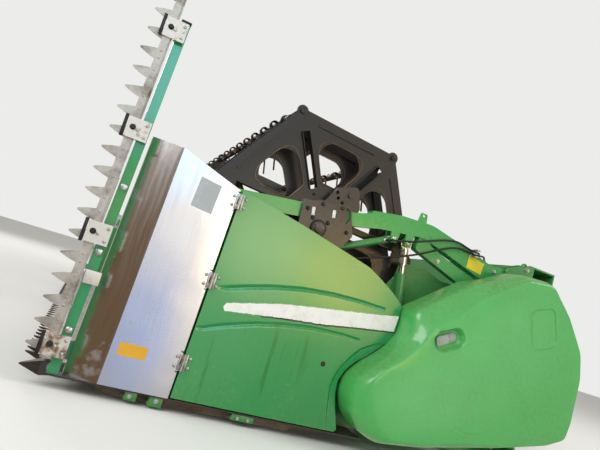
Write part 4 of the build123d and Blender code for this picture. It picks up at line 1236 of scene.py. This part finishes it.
def tube(name, points, radius, material):
    """Round hose along a smooth line through points in millimetres, as a mesh."""
    line = bpy.data.curves.new(name, "CURVE")
    line.dimensions = "3D"
    line.bevel_depth = radius / 1000
    line.bevel_resolution = 3
    line.resolution_u = 8
    line.use_fill_caps = True
    spline = line.splines.new("NURBS")
    spline.points.add(len(points) - 1)
    for point, place in zip(spline.points, points):
        point.co = at(*place).to_4d()
    spline.order_u = 4
    spline.use_endpoint_u = True
    drawn = link_object(name, line)
    bpy.context.view_layer.update()
    mesh = bpy.data.meshes.new_from_object(drawn.evaluated_get(bpy.context.evaluated_depsgraph_get()))
    bpy.data.objects.remove(drawn)
    mesh.materials.clear()
    mesh.materials.append(material)
    return link_object(name, mesh)


def hose_clips(shape):
    block(shape, (ARM_OUT - 2, 1428, 940), (ARM_OUT + 40, 1452, 946), 1.0)
    block(shape, (ARM_OUT - 2, 1430, 972), (ARM_OUT + 40, 1450, 978), 1.0)
    block(shape, (ARM_OUT - 2, 1428, 944), (ARM_OUT + 2, 1434, 974), 1.0)


both_ends("arm_pins", arm_pins, zinc_screw, "arms")
both_ends("bracket_screws", bracket_screws, zinc_screw, "header")
bright_film = moulded("bright_film", "#F0DA2A", "#D9C650", roughness=0.35)
both_ends("arm_label", arm_label, bright_film, "arms", 20)
# Routes of the two hoses from the ports of the ram to the top of the arm
HOSE_ROUTES = (
    (
        (2646, 968, 872), (2668, 974, 876), (2676, 1000, 882), (2677, 1060, 897), (2677, 1106, 908),
        (2674, 1190, 942), (2672, 1278, 974), (2672, 1337, 985), (2672, 1385, 974), (2672, 1434, 966),
        (2670, 1466, 968), (2652, 1486, 974), (2634, 1500, 962), (2634, 1504, 948),
    ),
    (
        (2642, 690, 728), (2654, 694, 712), (2660, 720, 706), (2660, 800, 732), (2662, 913, 776),
        (2668, 1054, 824), (2672, 1145, 862), (2672, 1236, 912), (2672, 1309, 948), (2672, 1365, 962),
        (2672, 1434, 954), (2672, 1480, 958), (2660, 1512, 966), (2644, 1530, 956), (2642, 1534, 940),
    ),
)
HOSE_R = 4.5


def hose_nuts(end, following):
    """Nuts of the hoses at one end of their routes."""

    def make(shape):
        for route in HOSE_ROUTES:
            seat = at(*route[end])
            fastener(shape, seat, at(*route[following]) - seat, 17, 14)

    return make


both_ends("hose_clips", hose_clips, zinc_screw, "arms")
both_ends("hose_ends", hose_nuts(-1, -2), zinc_screw, "arms")
both_ends("port_ends", hose_nuts(0, 1), zinc_screw, "slide_barrels")
for side, sign in SIDES:
    for k, route in enumerate(HOSE_ROUTES):
        hose = tube(f"arm_hose_{side}_{k + 1}", [(sign * x, y, z) for x, y, z in route], HOSE_R, rubber)
        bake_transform(hose)

# Cylinders: green barrels and chromed rods

dress(enamel("ram_green", "#1E8A3E", DUST, roughness=0.3, coat=0.4), "lift_ram_barrel", "slide_ram_barrel")
rod_chrome = bare_metal("rod_chrome", "#D4D6D8", "#B0A898", roughness=0.12, stained=0.1, metallic=1.0)
dress(rod_chrome, "lift_ram_rod", "slide_ram_rod")

# Undersides and sills: small green brackets screwed under the side panels, and runner screws


def sill_brackets(shape):
    for back, low_y, high_y, foot in ((8, 496, 586, 20), (12, 100, 142, 14), (10, 186, 234, 10)):
        block(shape, (HALF - 60, low_y, foot), (HALF - back, high_y, 44), 2.0)


def sill_screws(shape):
    screws(shape, HALF - 10, [(y, 30) for y in (116, 210, 520, 562)], 14, 7)
    for y in (120, 320, 520, 720):
        fastener(shape, at(WALL + 30, y, 44), (0, 0, 1), 16, 6, DOME)


both_ends("sill_brackets", sill_brackets, green_enamel, "header")
both_ends("sill_screws", sill_screws, zinc_screw, "header")
